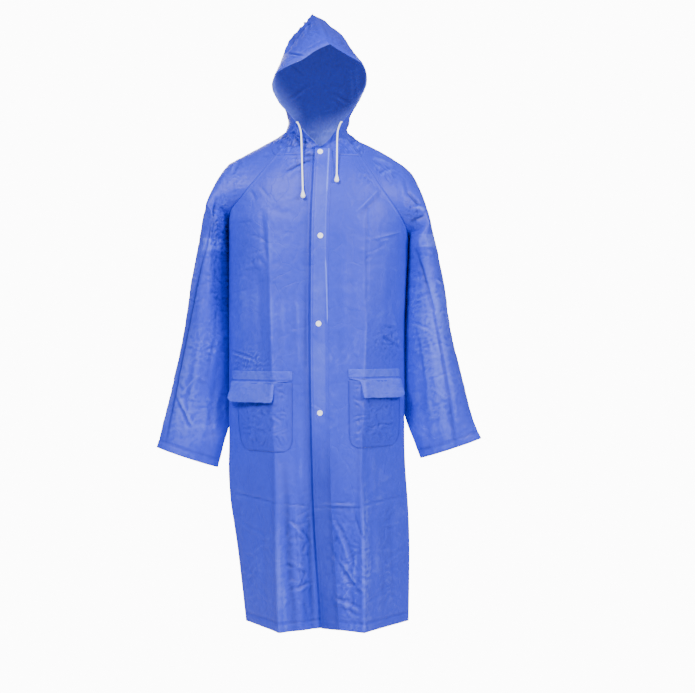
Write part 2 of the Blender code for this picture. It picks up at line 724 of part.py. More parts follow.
def build_cords(yarn, plastic):
    for name, points in CORD_ROUTES.items():
        route = smooth_route(points, CORD_STEP)
        curve = bpy.data.curves.new(name, "CURVE")
        curve.dimensions = "3D"
        curve.bevel_depth = CORD_DIAMETER / 2 * MM
        curve.bevel_resolution = 2
        curve.use_fill_caps = True
        line = curve.splines.new("POLY")
        line.points.add(len(route) - 1)
        for spot, place in zip(line.points, route):
            spot.co = (*(place * MM), 1)
        curve.materials.append(yarn)
        cord = bpy.data.objects.new(name, curve)
        bpy.context.scene.collection.objects.link(cord)
        way = unit(route[-1] - route[-2])
        tip = name.replace("drawcord", "cord_tip")
        turned_solid(tip, route[-1] + way * SEAM_GAP, way, CORD_TIP_PROFILE,
                     CORD_TIP_SIDES, plastic)


def main():
    for thing in list(bpy.data.objects):
        bpy.data.objects.remove(thing)
    film = plain_material("blue_film", (0.075, 0.15, 0.62), 0.38)
    plastic = plain_material("white_plastic", (0.85, 0.86, 0.87), 0.35)
    yarn = plain_material("white_cord", (0.82, 0.83, 0.83), 0.85)
    fronts = build_shell(film)
    build_placket(fronts[LEFT], film)
    build_pockets(fronts, film)
    build_snaps(fronts[LEFT], plastic)
    build_cords(yarn, plastic)


main()
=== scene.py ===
"""Long hooded raincoat of thin blue film, worn and hollow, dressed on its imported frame."""

import math
from types import SimpleNamespace

import bpy
import numpy as np
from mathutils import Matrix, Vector


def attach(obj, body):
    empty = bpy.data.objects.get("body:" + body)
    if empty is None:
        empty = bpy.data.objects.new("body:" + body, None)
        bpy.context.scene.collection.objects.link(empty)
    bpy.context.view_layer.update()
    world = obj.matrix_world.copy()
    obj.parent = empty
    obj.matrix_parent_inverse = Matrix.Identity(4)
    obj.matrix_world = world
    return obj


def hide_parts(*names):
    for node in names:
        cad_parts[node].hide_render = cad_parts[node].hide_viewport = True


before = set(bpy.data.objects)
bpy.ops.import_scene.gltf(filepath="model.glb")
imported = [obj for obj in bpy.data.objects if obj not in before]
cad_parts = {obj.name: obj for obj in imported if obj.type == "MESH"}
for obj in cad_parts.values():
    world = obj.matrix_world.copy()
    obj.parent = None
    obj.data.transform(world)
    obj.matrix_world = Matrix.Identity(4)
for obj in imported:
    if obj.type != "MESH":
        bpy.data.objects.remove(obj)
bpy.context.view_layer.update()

# ---- Camera ----------------------------------------------------------------------------------
# The photograph looks level at the coat's front, from about 3.6 m away at waist height.
# Its frame is 695 pixels wide and shows 2.3 mm of the coat to a pixel, a little off centre.

MM = 0.001
FRAME_WIDTH = 695            # pixels
VIEW_DISTANCE = 3600         # mm
VIEW_HEIGHT = -452           # mm, from the shoulders
VIEW_SCALE = 2.3             # mm to a pixel at the coat's middle
VIEW_SHIFT = 27              # pixels between the frame's middle and the coat's
SENSOR = 36.0

camera = bpy.data.objects.new("camera", bpy.data.cameras.new("camera"))
bpy.context.scene.collection.objects.link(camera)
camera.location = (0, -VIEW_DISTANCE * MM, VIEW_HEIGHT * MM)
camera.rotation_euler = (math.radians(90), 0, 0)
camera.data.sensor_width = SENSOR
camera.data.lens = SENSOR * VIEW_DISTANCE / (FRAME_WIDTH * VIEW_SCALE)
camera.data.shift_x = VIEW_SHIFT / FRAME_WIDTH
bpy.context.scene.camera = camera

# ---- Studio ----------------------------------------------------------------------------------
# A white studio: a pale floor far below the coat, white all round it, a large softbox in
# front on the coat's right, a weaker one on its left and a faint one behind it.


def linear(code):
    """An sRGB hex colour as linear red, green, blue and alpha."""
    parts = [int(code[i:i + 2], 16) / 255 for i in (1, 3, 5)]
    return [p / 12.92 if p <= 0.04045 else ((p + 0.055) / 1.055) ** 2.4 for p in parts] + [1.0]


def add_node(tree, kind, inputs=(), **settings):
    """Adds a node. Each input is a value, or a node and the name of its output."""
    node = tree.nodes.new(kind)
    for name, value in settings.items():
        setattr(node, name, value)
    for name, value in dict(inputs).items():
        if isinstance(value, tuple) and isinstance(value[0], bpy.types.Node):
            tree.links.new(value[0].outputs[value[1]], node.inputs[name])
        else:
            node.inputs[name].default_value = value
    return node


def bare_material(name):
    """A new material with its tree and its Principled shader."""
    material = bpy.data.materials.new(name)
    material.use_nodes = True
    tree = material.node_tree
    return material, tree, tree.nodes["Principled BSDF"]


def feed(tree, socket, node, output):
    """Links a node's output to a socket."""
    tree.links.new(node.outputs[output], socket)


def set_sockets(node, values):
    """Sets a node's own sockets to plain values."""
    for name, value in values.items():
        node.inputs[name].default_value = value


FLOOR_Z = -1.62              # m, well below the hem
white_paint, _, white_shader = bare_material("studio_white_paint")
set_sockets(white_shader, {"Base Color": linear("#FBFBFB"), "Roughness": 0.9})

bpy.ops.object.select_all(action="DESELECT")
bpy.ops.mesh.primitive_plane_add(size=3, location=(0, 0, FLOOR_Z))
floor = bpy.context.object
floor.name = "studio_floor"
floor.data.materials.append(white_paint)

# The backdrop is pure white to the camera and lights the coat evenly, but far less strongly.
world = bpy.data.worlds.new("studio_white")
world.use_nodes = True
world_tree = world.node_tree
background = world_tree.nodes["Background"]
seen = add_node(world_tree, "ShaderNodeLightPath")
brightness = add_node(world_tree, "ShaderNodeMapRange",
                      {"Value": (seen, "Is Camera Ray"), "To Min": 0.36, "To Max": 12.0})
background.inputs["Color"].default_value = (1, 1, 1, 1)
feed(world_tree, background.inputs["Strength"], brightness, "Result")
bpy.context.scene.world = world


def softbox(name, place, aim, size, power):
    """A square area light that looks at a point."""
    light = bpy.data.lights.new(name, "AREA")
    light.shape, light.size, light.energy = "SQUARE", size, power
    lamp = bpy.data.objects.new(name, light)
    bpy.context.scene.collection.objects.link(lamp)
    lamp.location = place
    lamp.rotation_euler = (Vector(aim) - Vector(place)).to_track_quat("-Z", "Y").to_euler()


softbox("softbox_key", (-1.4, -2.7, 1.5), (0, 0, -0.4), 0.9, 162)
softbox("softbox_fill", (2.3, -2.3, 0.9), (0, 0, -0.45), 0.9, 118)
softbox("softbox_back", (-0.6, 2.9, 1.0), (0, 0, -0.4), 1.2, 58)

# ---- Hood drawcord: two free ends ------------------------------------------------------------
# A white braided polyester cord of 3.6 mm in the hood's casing. Its two ends come out of the
# face edge at the cheeks and hang down the chest. Each ends in a pressed-on plastic tip.

CORD_DIAMETER = 3.6
CORD_STEP = 0.9              # mm along the cord, six to a braid's repeat
CORD_SIDES = 16
BRAID_REPEAT = 5.4           # mm along the cord, drawn twice as coarse as it is so it shows
BRAID_RELIEF = 0.16          # mm
TIP_SIDES = 28
CORD_ROUTES = {
    "drawcord_right": ((-53.2, -100.1, 49.6), (-50.8, -106.8, 47.0), (-46.8, -109.8, 38.0),
                       (-43.8, -111.5, 26.0), (-42.6, -113.0, 8.0), (-42.0, -114.6, -10.0),
                       (-41.4, -117.6, -30.0), (-40.6, -124.6, -58.0),
                       (-39.8, -131.9, -84.0), (-39.1, -137.6, -106.0)),
    "drawcord_left": ((47.6, -99.8, 50.3), (45.4, -106.8, 47.8), (41.6, -109.8, 39.0),
                      (38.4, -111.5, 27.0), (37.2, -113.0, 10.0), (36.8, -114.6, -8.0),
                      (36.6, -117.2, -26.0), (36.4, -122.4, -46.0), (36.1, -129.4, -70.2)),
}
TIP_PROFILE = ((1.2, -1.6), (1.95, -0.9), (2.2, 0.4), (2.35, 2.2), (2.9, 4), (3.8, 7), (4.5, 9.4),
               (5.0, 11.8), (5.2, 13.4), (5.05, 14.8), (4.3, 16.4), (2.9, 17.7), (1.3, 18.4),
               (0.0, 18.5))


def unit(vector):
    length = np.linalg.norm(vector)
    return vector / length if length else vector


def smooth_route(points, step):
    """Evenly spaced places on a smooth curve through given points."""
    knots = np.array(points, float)
    knots = np.vstack((2 * knots[0] - knots[1], knots, 2 * knots[-1] - knots[-2]))
    fine = []
    for a, b, c, d in zip(knots, knots[1:], knots[2:], knots[3:]):
        for s in np.linspace(0, 1, 20, endpoint=False):
            fine.append(0.5 * (2 * b + (c - a) * s + (2 * a - 5 * b + 4 * c - d) * s ** 2
                               + (3 * b - a - 3 * c + d) * s ** 3))
    fine = np.array(fine + [knots[-2]])
    along = np.concatenate(([0], np.cumsum(np.linalg.norm(np.diff(fine, axis=0), axis=1))))
    even = np.linspace(0, along[-1], max(2, round(along[-1] / step)) + 1)
    return np.array([[np.interp(at, along, fine[:, k]) for k in range(3)] for at in even])


def new_piece(name, places, faces, material):
    """A smooth-shaded mesh object whose places are given in mm."""
    mesh = bpy.data.meshes.new(name)
    mesh.from_pydata((np.asarray(places, float).reshape(-1, 3) * MM).tolist(), [], faces)
    mesh.materials.append(material)
    mesh.shade_smooth()
    piece = bpy.data.objects.new(name, mesh)
    bpy.context.scene.collection.objects.link(piece)
    return piece


def pick(piece):
    bpy.ops.object.select_all(action="DESELECT")
    piece.select_set(True)
    bpy.context.view_layer.objects.active = piece


def clean(piece):
    """Joins doubled points, which also drops faces that have closed up."""
    pick(piece)
    bpy.ops.object.mode_set(mode="EDIT")
    bpy.ops.mesh.select_all(action="SELECT")
    bpy.ops.mesh.remove_doubles(threshold=1e-6)
    bpy.ops.object.mode_set(mode="OBJECT")


def turned(name, profile, place, axis, sides, material):
    """Spins a profile of (radius, height) about an axis through a place, all in mm."""
    mesh = bpy.data.meshes.new(name)
    mesh.from_pydata([(r * MM, 0, h * MM) for r, h in profile],
                     [(n, n + 1) for n in range(len(profile) - 1)], [])
    mesh.materials.append(material)
    piece = bpy.data.objects.new(name, mesh)
    bpy.context.scene.collection.objects.link(piece)
    pick(piece)
    bpy.ops.object.mode_set(mode="EDIT")
    bpy.ops.mesh.select_all(action="SELECT")
    bpy.ops.mesh.spin(steps=sides, angle=2 * math.pi, center=(0, 0, 0), axis=(0, 0, 1))
    bpy.ops.mesh.select_all(action="SELECT")
    bpy.ops.mesh.remove_doubles(threshold=1e-6)
    bpy.ops.mesh.normals_make_consistent(inside=False)
    bpy.ops.object.mode_set(mode="OBJECT")
    turn = Vector((0, 0, 1)).rotation_difference(Vector(axis)).to_matrix().to_4x4()
    turn.translation = Vector(place) * MM
    mesh.transform(turn)
    pick(piece)
    bpy.ops.object.shade_smooth_by_angle(angle=math.radians(50))
    return piece


def braided_cord(name, route, material):
    """A tube along a route whose wall rises and falls as a braid's strands cross."""
    places, faces = [], []
    across = unit(np.cross(route[1] - route[0], (1, 0, 0.3)))
    for n, place in enumerate(route):
        way = unit(route[min(n + 1, len(route) - 1)] - route[max(n - 1, 0)])
        across = unit(across - way * (across @ way))
        other = np.cross(way, across)
        for k in range(CORD_SIDES):
            turn = 2 * math.pi * k / CORD_SIDES
            along = 2 * math.pi * n * CORD_STEP / BRAID_REPEAT
            crossing = math.cos(4 * turn + along) * math.cos(4 * turn - along)
            radius = CORD_DIAMETER / 2 - BRAID_RELIEF / 2 * (1 - crossing)
            places.append(place + (across * math.cos(turn) + other * math.sin(turn)) * radius)
    for n in range(len(route) - 1):
        for k in range(CORD_SIDES):
            a, b = n * CORD_SIDES + k, n * CORD_SIDES + (k + 1) % CORD_SIDES
            faces.append((a, b, b + CORD_SIDES, a + CORD_SIDES))
    last = (len(route) - 1) * CORD_SIDES
    faces.append(tuple(reversed(range(CORD_SIDES))))
    faces.append(tuple(last + k for k in range(CORD_SIDES)))
    return new_piece(name, places, faces, material)


def stand_for(piece, node):
    """Puts a finished piece in the place of its CAD node, on the coat's one body."""
    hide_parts(node)
    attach(piece, "root")


def grained_white(name, grain_scale, detail, deep, pale, relief):
    """A white with a painted glow (emission) that brightens it, whose fine grain shows as faint
    tone and relief, with its shader.
    """
    material, tree, shader = bare_material(name)
    place = add_node(tree, "ShaderNodeTexCoord")
    grain = add_node(tree, "ShaderNodeTexNoise",
                     {"Vector": (place, "Object"), "Scale": grain_scale, "Detail": detail})
    tone = add_node(tree, "ShaderNodeValToRGB", {"Fac": (grain, "Fac")})
    for element, code in zip(tone.color_ramp.elements, (deep, pale)):
        element.color = linear(code)
    bump = add_node(tree, "ShaderNodeBump",
                    {"Height": (grain, "Fac"), "Strength": relief, "Distance": 0.0001})
    feed(tree, shader.inputs["Base Color"], tone, "Color")
    feed(tree, shader.inputs["Normal"], bump, "Normal")
    shader.inputs["Emission Color"].default_value = (1, 1, 1, 1)     # painted glow that brightens the white
    return material, shader


# Braided polyester: white, matt, its strands show as soft relief and faint grey between. A painted
# glow brightens it.
braid, braid_shader = grained_white("braided_polyester_white", 900, 2, "#E6E8EC", "#FDFDFC", 0.4)
set_sockets(braid_shader, {"Roughness": 0.82, "IOR": 1.5, "Emission Strength": 0.45})

# Moulded polyethylene: bright white, from a painted glow, with a soft gloss and a faint mould
# texture.
moulded, moulded_shader = grained_white("moulded_polyethylene_white", 420, 3,
                                        "#EFF0F2", "#FBFBFA", 0.12)
set_sockets(moulded_shader, {"Roughness": 0.32, "IOR": 1.51, "Emission Strength": 0.4})

for cord_name, cord_points in CORD_ROUTES.items():
    cord_route = smooth_route(cord_points, CORD_STEP)
    cord = braided_cord(cord_name + "_braid", cord_route, braid)
    cord_way = unit(cord_route[-1] - cord_route[-5])
    tip_name = cord_name.replace("drawcord", "cord_tip")
    tip = turned(tip_name + "_moulded", TIP_PROFILE, cord_route[-1], cord_way, TIP_SIDES, moulded)
    stand_for(cord, cord_name)
    stand_for(tip, tip_name)

# ---- Back and fronts -------------------------------------------------------------------------
# The body is cut from 0.2 mm blue film: one back and two fronts, welded at the side seams.
# It was folded when packed, so pressed creases run down it and lighter ones cross it.

RIGHT, LEFT = -1, 1
FRONT, BACK = -1, 1
SIDES = ((RIGHT, "right"), (LEFT, "left"))
FILM = 0.5                   # mm, the shell's thickness, drawn thicker than the real film
STEP = 3.2                   # mm between the fine points of a front
BACK_STEP = STEP * 1.3       # the same across the back, which is plainer
SECTION_POWER = 2.4          # how square the worn body's sections are: 2 is an ellipse
HEM_Z = -1082.0
UNDERLAP = 45.0              # mm that the right front runs on under the left one
UNDERLAP_STEP = 3.2          # mm that it lies inside the left front
UNDERLAP_DROP = 1.0          # mm that it stays below the left neck seam
UNDERLAP_RUN_IN = 10.0       # mm over which it dips under
SIDE_COLUMNS = 5             # coarse columns from the side seam to the pressed crease
MIDDLE_COLUMNS = 4           # and from there to the middle
FRONT_COLUMNS = SIDE_COLUMNS + MIDDLE_COLUMNS
ROWS_ABOVE_UNDERARM = 8
WIDTH_ROW = 8                # the coarse row whose width sets how many fine columns there are
NECK_Z_CENTRE = -8.0
NECK_Z_BACK = 22.0
NECK_STEP = (22.0, 38.0)     # mm from the middle between which the front's neck seam drops


class Table:
    """Rows of sizes with named columns, read between its rows by a smooth curve."""

    def __init__(self, columns, *rows):
        self.names = columns.split()
        self.rows = np.array(sorted(rows), float)

    def __call__(self, at):
        keys = self.rows[:, 0]
        at = min(max(at, keys[0]), keys[-1])
        i = min(int(np.searchsorted(keys, at, side="right")) - 1, len(keys) - 2)
        step = keys[i + 1] - keys[i]
        s = (at - keys[i]) / step
        low, high = self.rows[i], self.rows[i + 1]
        rise = (high - low) / step
        start = self.slope(i, rise) * step
        end = self.slope(i + 1, rise) * step
        value = (low * (1 + 2 * s) * (1 - s) ** 2 + start * s * (1 - s) ** 2
                 + high * s * s * (3 - 2 * s) + end * s * s * (s - 1))
        return SimpleNamespace(**dict(zip(self.names, value)))

    def slope(self, i, rise):
        """The slope at row i, held back so that the curve never overshoots its rows."""
        if i in (0, len(self.rows) - 1):
            return rise
        before = (self.rows[i] - self.rows[i - 1]) / (self.rows[i, 0] - self.rows[i - 1, 0])
        after = (self.rows[i + 1] - self.rows[i]) / (self.rows[i + 1, 0] - self.rows[i, 0])
        same_way = before * after > 0
        total = np.where(same_way, before + after, 1.0)
        return np.where(same_way, 2 * before * after / total, 0.0)


TORSO = Table(
    "z     half_right half_left front back crease_right crease_left crease_front crease_back crisp",
    (25, 120, 112, 90, 85, 60, 60, 80, 78, 0),
    (-24, 145, 132, 107, 104, 80, 75, 95, 95, 0),
    (-60, 178, 165, 121, 113, 95, 88, 110, 104, 0),
    (-100, 203, 188, 131, 118, 105, 95, 120, 110, 0),
    (-165, 210.4, 203, 139, 121, 114, 99, 126, 114, 0),
    (-208, 210.4, 203, 140, 120, 115, 99, 126, 113, 0.08),
    (-300, 210.4, 198, 138, 116, 113, 100, 127, 110, 0.25),
    (-415, 210.4, 193.5, 134, 113, 110.7, 100.8, 131, 112, 0.45),
    (-510, 210.4, 193, 130, 115, 105.4, 96, 136, 118, 0.6),
    (-600, 210.4, 193, 126, 117, 102.5, 92, 140, 123, 0.7),
    (-682, 210.5, 193.5, 121, 118, 100.3, 89, 144, 128, 0.8),
    (-770, 211.5, 198, 115, 118, 96, 87.2, 149, 133, 0.9),
    (-807, 206.8, 201, 112, 118, 94.7, 90.3, 151, 136, 0.93),
    (-913, 191, 205, 107, 118, 93, 95.5, 155, 141, 1),
    (-1082, 171.5, 203, 100, 117, 90, 95.3, 160, 148, 1),
)
ROW_HEIGHTS = (-240, -283, -330, -375, -415, -462, -510, -560, -620, -682,
               -740, -807, -860, -920, -1000, HEM_Z)
FRONT_EDGE = Table(
    "z   x",
    (-8, -12),
    (-194, -20),
    (-415, -22),
    (-749, -17),
    (HEM_Z, 3),
)
RAGLAN = {
    RIGHT: Table(
        "up   front_x front_z back_x back_z top_x top_z",
        (0, 210.4, -165, 210.4, -165, 269, -160),
        (0.15, 203, -143, 203, -143, 256, -121),
        (0.35, 183, -121, 183, -118, 240, -78),
        (0.6, 148, -78, 150, -72, 212, -37),
        (0.8, 125, -49, 120, -38, 165, -9),
        (1, 103.5, -22, 76, 14, 104, 25),
    ),
    LEFT: Table(
        "up   front_x front_z back_x back_z top_x top_z",
        (0, 203, -208, 203, -208, 262, -205),
        (0.15, 194, -184, 193, -180, 249, -160),
        (0.35, 172, -147, 170, -135, 233, -105),
        (0.6, 140, -101, 140, -82, 211, -56),
        (0.8, 116, -62, 112, -38, 160, -17),
        (1, 92, -24, 74, 14, 88, 20),
    ),
}


def on_side(section, side, name):
    return getattr(section, name + ("_right" if side == RIGHT else "_left"))


def body_depth(face, x, section):
    """How far the cloth lies in front of or behind the side line, at x."""
    side = RIGHT if x < 0 else LEFT
    reach = abs(x)
    half = on_side(section, side, "half")
    crease = on_side(section, side, "crease")
    middle = section.front if face == FRONT else section.back
    ridge = section.crease_front if face == FRONT else section.crease_back
    fullness = max(0.0, 1 - (reach / half) ** SECTION_POWER) ** (1 / SECTION_POWER)
    pressed = np.interp(reach, (0, crease, half), (middle, ridge, 0))
    return (1 - section.crisp) * middle * fullness + section.crisp * pressed


def body_point(face, x, z):
    return np.array((x, face * body_depth(face, x, TORSO(z)), z))


def column_reach(column, z, side):
    """How far out a column lies, from the side seam (0) past the crease to the middle."""
    section = TORSO(z)
    half = on_side(section, side, "half")
    crease = on_side(section, side, "crease")
    if column <= SIDE_COLUMNS:
        return crease + (half - crease) * math.cos(math.pi / 2 * column / SIDE_COLUMNS)
    return crease * (1 - (column - SIDE_COLUMNS) / MIDDLE_COLUMNS)


def underarm_z(x):
    """Height of the row that joins the two underarms, which lie at unlike heights."""
    right, left = RAGLAN[RIGHT](0), RAGLAN[LEFT](0)
    return np.interp(x, (-right.front_x, left.front_x), (right.front_z, left.front_z))


def row_z(row, x):
    """Height of body row 0 (underarm) to the last (hem)."""
    if row == 0:
        return underarm_z(x)
    tilt = underarm_z(x) - underarm_z(0)
    return ROW_HEIGHTS[row - 1] + tilt * 0.5 ** row * (ROW_HEIGHTS[row - 1] > HEM_Z)


def front_end(side, z):
    """x where a front's own columns end: its edge, or where it dips under the left front."""
    edge = FRONT_EDGE(z).x
    return edge if side == LEFT else edge - UNDERLAP_RUN_IN


def body_row(face, side, row):
    """Points of one row, from the side seam to the front edge or the back's middle."""
    points = []
    for column in range(FRONT_COLUMNS + 1):
        z = ROW_HEIGHTS[row - 1] if row else underarm_z(0)
        for _ in range(3):
            x = side * column_reach(column, z, side)
            if face == FRONT and column > SIDE_COLUMNS:
                crease = side * on_side(TORSO(z), side, "crease")
                share = (column - SIDE_COLUMNS) / MIDDLE_COLUMNS
                x = crease + (front_end(side, z) - crease) * share
            z = row_z(row, x)
        points.append(body_point(face, x, z))
    return points


def neck_z(face, side, x):
    """Height of the neck seam: it rises to the collar snap in the middle of the front."""
    corner = RAGLAN[side](1)
    if face == BACK:
        return np.interp(abs(x), (0, corner.back_x), (NECK_Z_BACK, corner.back_z))
    return np.interp(abs(x), NECK_STEP, (NECK_Z_CENTRE, corner.front_z))


def upper_row(face, side, up):
    """Points of a row above the underarm, from the raglan seam inwards."""
    seam = RAGLAN[side](up)
    seam_x, seam_z = ((seam.front_x, seam.front_z) if face == FRONT
                      else (seam.back_x, seam.back_z))
    underarm = body_row(face, side, 0)
    middle_z = np.interp(up, (0, 1), (underarm_z(0), neck_z(face, side, 0)))
    points = []
    for start in underarm:
        end_x = underarm[-1][0] if face == BACK else front_end(side, middle_z)
        share = (start[0] - underarm[-1][0]) / (underarm[0][0] - underarm[-1][0])
        x = end_x + (side * seam_x - end_x) * share
        z = middle_z + (seam_z - middle_z) * share
        if up == 1:
            z = neck_z(face, side, x) if share < 1 else seam_z
        points.append(body_point(face, x, z))
    return points


def underlap_row(row):
    """The right front's row, with the part that dips under the left front added."""
    z = row[-1][2]
    edge = FRONT_EDGE(z).x
    inside = [body_point(FRONT, x, min(z, neck_z(FRONT, LEFT, x) - UNDERLAP_DROP))
              + (0, UNDERLAP_STEP, 0)
              for x in (edge - 1, edge + UNDERLAP / 3, edge + UNDERLAP)]
    return row + inside


def body_rows(face, side):
    """All rows of a panel's half, from the hem up to the neck."""
    below = [body_row(face, side, row) for row in range(len(ROW_HEIGHTS), -1, -1)]
    ups = [(n + 1) / ROWS_ABOVE_UNDERARM for n in range(ROWS_ABOVE_UNDERARM)]
    return below + [upper_row(face, side, up) for up in ups]


def smooth_read(rows, at, breaks=()):
    """Reads an array's rows at fractional places on a smooth curve that may turn at breaks."""
    rows, at = np.asarray(rows, float), np.asarray(at, float)
    last = len(rows) - 1
    step = np.diff(rows, axis=0)
    leave = np.concatenate((step, step[-1:]))
    arrive = np.concatenate((step[:1], step))
    for n in range(1, last):
        if n not in breaks:
            leave[n] = arrive[n] = (step[n - 1] + step[n]) / 2
    low = np.clip(np.floor(at).astype(int), 0, last - 1)
    s = (at - low).reshape((-1,) + (1,) * (rows.ndim - 1))
    return (rows[low] * (1 + 2 * s) * (1 - s) ** 2 + leave[low] * s * (1 - s) ** 2
            + rows[low + 1] * s * s * (3 - 2 * s) + arrive[low + 1] * s * s * (s - 1))


def even_places(line, spacing):
    """Fractional places about this far apart along a coarse line of points."""
    lengths = np.concatenate(([0], np.cumsum(np.linalg.norm(np.diff(line, axis=0), axis=1))))
    count = max(2, round(lengths[-1] / spacing)) + 1
    return np.interp(np.linspace(0, lengths[-1], count), lengths, np.arange(len(line)))


def fine_grid(rows, row_at, column_at, breaks=()):
    """Reads a coarse grid at fractional rows and columns. It may turn at the break columns."""
    tall = smooth_read(rows, row_at)
    return smooth_read(tall.swapaxes(0, 1), column_at, breaks).swapaxes(0, 1)


def leans(grid, outwards):
    """Unit normals of a grid of points."""
    up = np.gradient(grid, axis=0)
    along = np.gradient(grid, axis=1)
    normal = np.cross(along, up) * outwards
    length = np.linalg.norm(normal, axis=2, keepdims=True)
    return normal / np.maximum(length, 1e-9)


def along_rows(grid):
    """Distance of each point from the first one of its row."""
    steps = np.linalg.norm(np.diff(grid, axis=1), axis=2)
    return np.concatenate((np.zeros((len(grid), 1)), np.cumsum(steps, axis=1)), axis=1)


def up_columns(grid):
    """Distance of each point from the first one of its column."""
    return along_rows(grid.swapaxes(0, 1)).T


def from_top(grid):
    """Distance of each point from the last one of its column."""
    return up_columns(grid[::-1])[::-1]


def ease(value, low, high):
    """Rises smoothly from 0 at low to 1 at high."""
    s = np.clip((value - low) / (high - low), 0, 1)
    return s * s * (3 - 2 * s)


SOFT, SHARP, PAIR = 0, 1, 2   # a rounded fold, one with a keen line, a trough beside a ridge


def folds(table, x, z):
    """Height of listed folds at the points of a grid, seen from the front or back.

    A row holds the fold's two ends, its height (below 0 for a trough), its half width, how
    far it bows sideways and its kind. Folds fade out at both ends.
    """
    total = np.zeros_like(x)
    for x0, z0, x1, z1, height, width, bow, kind in table:
        length = math.hypot(x1 - x0, z1 - z0)
        way_x, way_z = (x1 - x0) / length, (z1 - z0) / length
        s = ((x - x0) * way_x + (z - z0) * way_z) / length
        inside = np.clip(s, 0, 1)
        off = -(x - x0) * way_z + (z - z0) * way_x - bow * 4 * inside * (1 - inside)
        reach = np.hypot(off, (s - inside) * length) / width
        fade = (4 * inside * (1 - inside)) ** 0.6
        if kind == SOFT:
            shape = np.exp(-reach ** 2)
        elif kind == SHARP:
            shape = np.exp(-reach * 1.4)
        else:
            shape = 2.3 * off / width * np.exp(-reach ** 2)
        total += height * fade * shape
    return total


def bumps(x, z, size, seed):
    """Smooth noise between about -1 and 1 whose bumps are about this size in mm."""
    rng = np.random.default_rng(seed)
    turns = rng.uniform(0, 2 * math.pi, (64, 64))
    u, v = x / size + 512, z / size + 512
    iu, iv = np.floor(u).astype(int), np.floor(v).astype(int)
    fu, fv = u - iu, v - iv
    su, sv = fu * fu * fu * (fu * (6 * fu - 15) + 10), fv * fv * fv * (fv * (6 * fv - 15) + 10)

    def corner(du, dv):
        turn = turns[(iu + du) % 64, (iv + dv) % 64]
        return np.cos(turn) * (fu - du) + np.sin(turn) * (fv - dv)

    low = corner(0, 0) * (1 - su) + corner(1, 0) * su
    high = corner(0, 1) * (1 - su) + corner(1, 1) * su
    return 1.6 * (low * (1 - sv) + high * sv)


def crinkle(x, z, size, seed):
    """Crumpled film: keen little ridges between soft hollows, from about -0.5 to 1."""
    warp_x = x + size * 0.7 * bumps(x, z, size * 1.7, seed + 1)
    warp_z = z + size * 0.7 * bumps(x, z, size * 1.7, seed + 2)
    broad = 1 - 2 * np.abs(bumps(warp_x, warp_z, size, seed))
    fine = 1 - 2 * np.abs(bumps(warp_x, warp_z, size * 0.45, seed + 3))
    return 0.7 * broad + 0.3 * fine - 0.5


def crumples(table, x, z):
    """Height of crumpled patches: middle, reach across and down, height, grain, seed."""
    total = np.zeros_like(x)
    for x0, z0, reach_x, reach_z, height, size, seed in table:
        near = np.exp(-((x - x0) / reach_x) ** 2 - ((z - z0) / reach_z) ** 2)
        total += height * near * crinkle(x, z, size, seed)
    return total


def crinkles(grains, x, z):
    """Height of the crinkles all over a piece: height, grain in mm and seed of each sort."""
    return sum(height * crinkle(x, z, size, seed) for height, size, seed in grains)


MID_TONE = 0.5               # the tone of smooth single film
TONE_RANGE = (-0.3, 0.12)    # how far the painted crease shade may deepen the film, and creases make it paler


def crease_shade_and_whitening(rise, deep=0.18, pale=0.09):
    """Painted shade in a grid's hollows and paler ridges, from how its height differs nearby; the
    pale is part whitening of creased film, part painted highlight.
    """
    wide = np.pad(rise, 2, mode="edge")
    rows, columns = rise.shape
    near = sum(wide[i:i + rows, j:j + columns] for i in range(5) for j in range(5)) / 25
    above = rise - near
    return np.clip(np.where(above < 0, deep, pale) * above, *TONE_RANGE)


def film_sheet(name, grid, outwards, tone, thickness=FILM):
    """A thin shell on a grid of points, its thickness inwards, with its film's tone."""
    rows, columns = grid.shape[:2]
    ids = np.arange(rows * columns).reshape(rows, columns)
    corners = np.stack((ids[:-1, :-1], ids[:-1, 1:], ids[1:, 1:], ids[1:, :-1]), axis=-1)
    corners = corners.reshape(-1, 4)
    if outwards < 0:
        corners = corners[:, ::-1]
    piece = new_piece(name, grid.reshape(-1, 3), corners.tolist(), film_blue)
    held = piece.data.attributes.new("tone", "FLOAT", "POINT")
    held.data.foreach_set("value", np.ravel(MID_TONE + tone))
    clean(piece)
    shell = piece.modifiers.new("film", "SOLIDIFY")
    shell.thickness = thickness * MM
    shell.offset = -1
    shell.material_offset = 1
    piece.data.materials.append(film_inside)
    return piece


def dress(piece, node, flat, area, held, rests_on):
    """Hands a finished sheet of film to the frame."""
    stand_for(piece, node)


# Plasticised PVC film: calendered, satin on its face, slightly cloudy, and it lets a little
# light through. It keeps fine crinkles from packing, 6 to 30 mm apart. The tone attribute holds
# painted shade in its hollows, its sharpest creases paler (whitened film and painted highlight),
# its paler double layers, and each piece's listed painted light and shade.
film_blue, film_tree, film_shader = bare_material("pvc_film_blue")
film_place = add_node(film_tree, "ShaderNodeTexCoord")
film_cloud = add_node(film_tree, "ShaderNodeTexNoise",
                      {"Vector": (film_place, "Object"), "Scale": 9, "Detail": 6,
                       "Roughness": 0.62})
film_tone = add_node(film_tree, "ShaderNodeAttribute", attribute_name="tone")
film_level = add_node(film_tree, "ShaderNodeMath",
                      {0: (film_cloud, "Fac"), 1: 0.3, 2: (film_tone, "Fac")},
                      operation="MULTIPLY_ADD")
film_colour = add_node(film_tree, "ShaderNodeValToRGB", {"Fac": (film_level, "Value")})
film_ramp = film_colour.color_ramp
film_ramp.elements[0].color, film_ramp.elements[0].position = linear("#141E92"), 0.12
film_ramp.elements[1].color, film_ramp.elements[1].position = linear("#6F80FF"), 1.15
film_ramp.elements.new(0.67).color = linear("#2F39D8")
film_packing = add_node(film_tree, "ShaderNodeTexNoise",
                        {"Vector": (film_place, "Object"), "Scale": 44, "Detail": 5,
                         "Distortion": 0.6}, noise_type="RIDGED_MULTIFRACTAL")
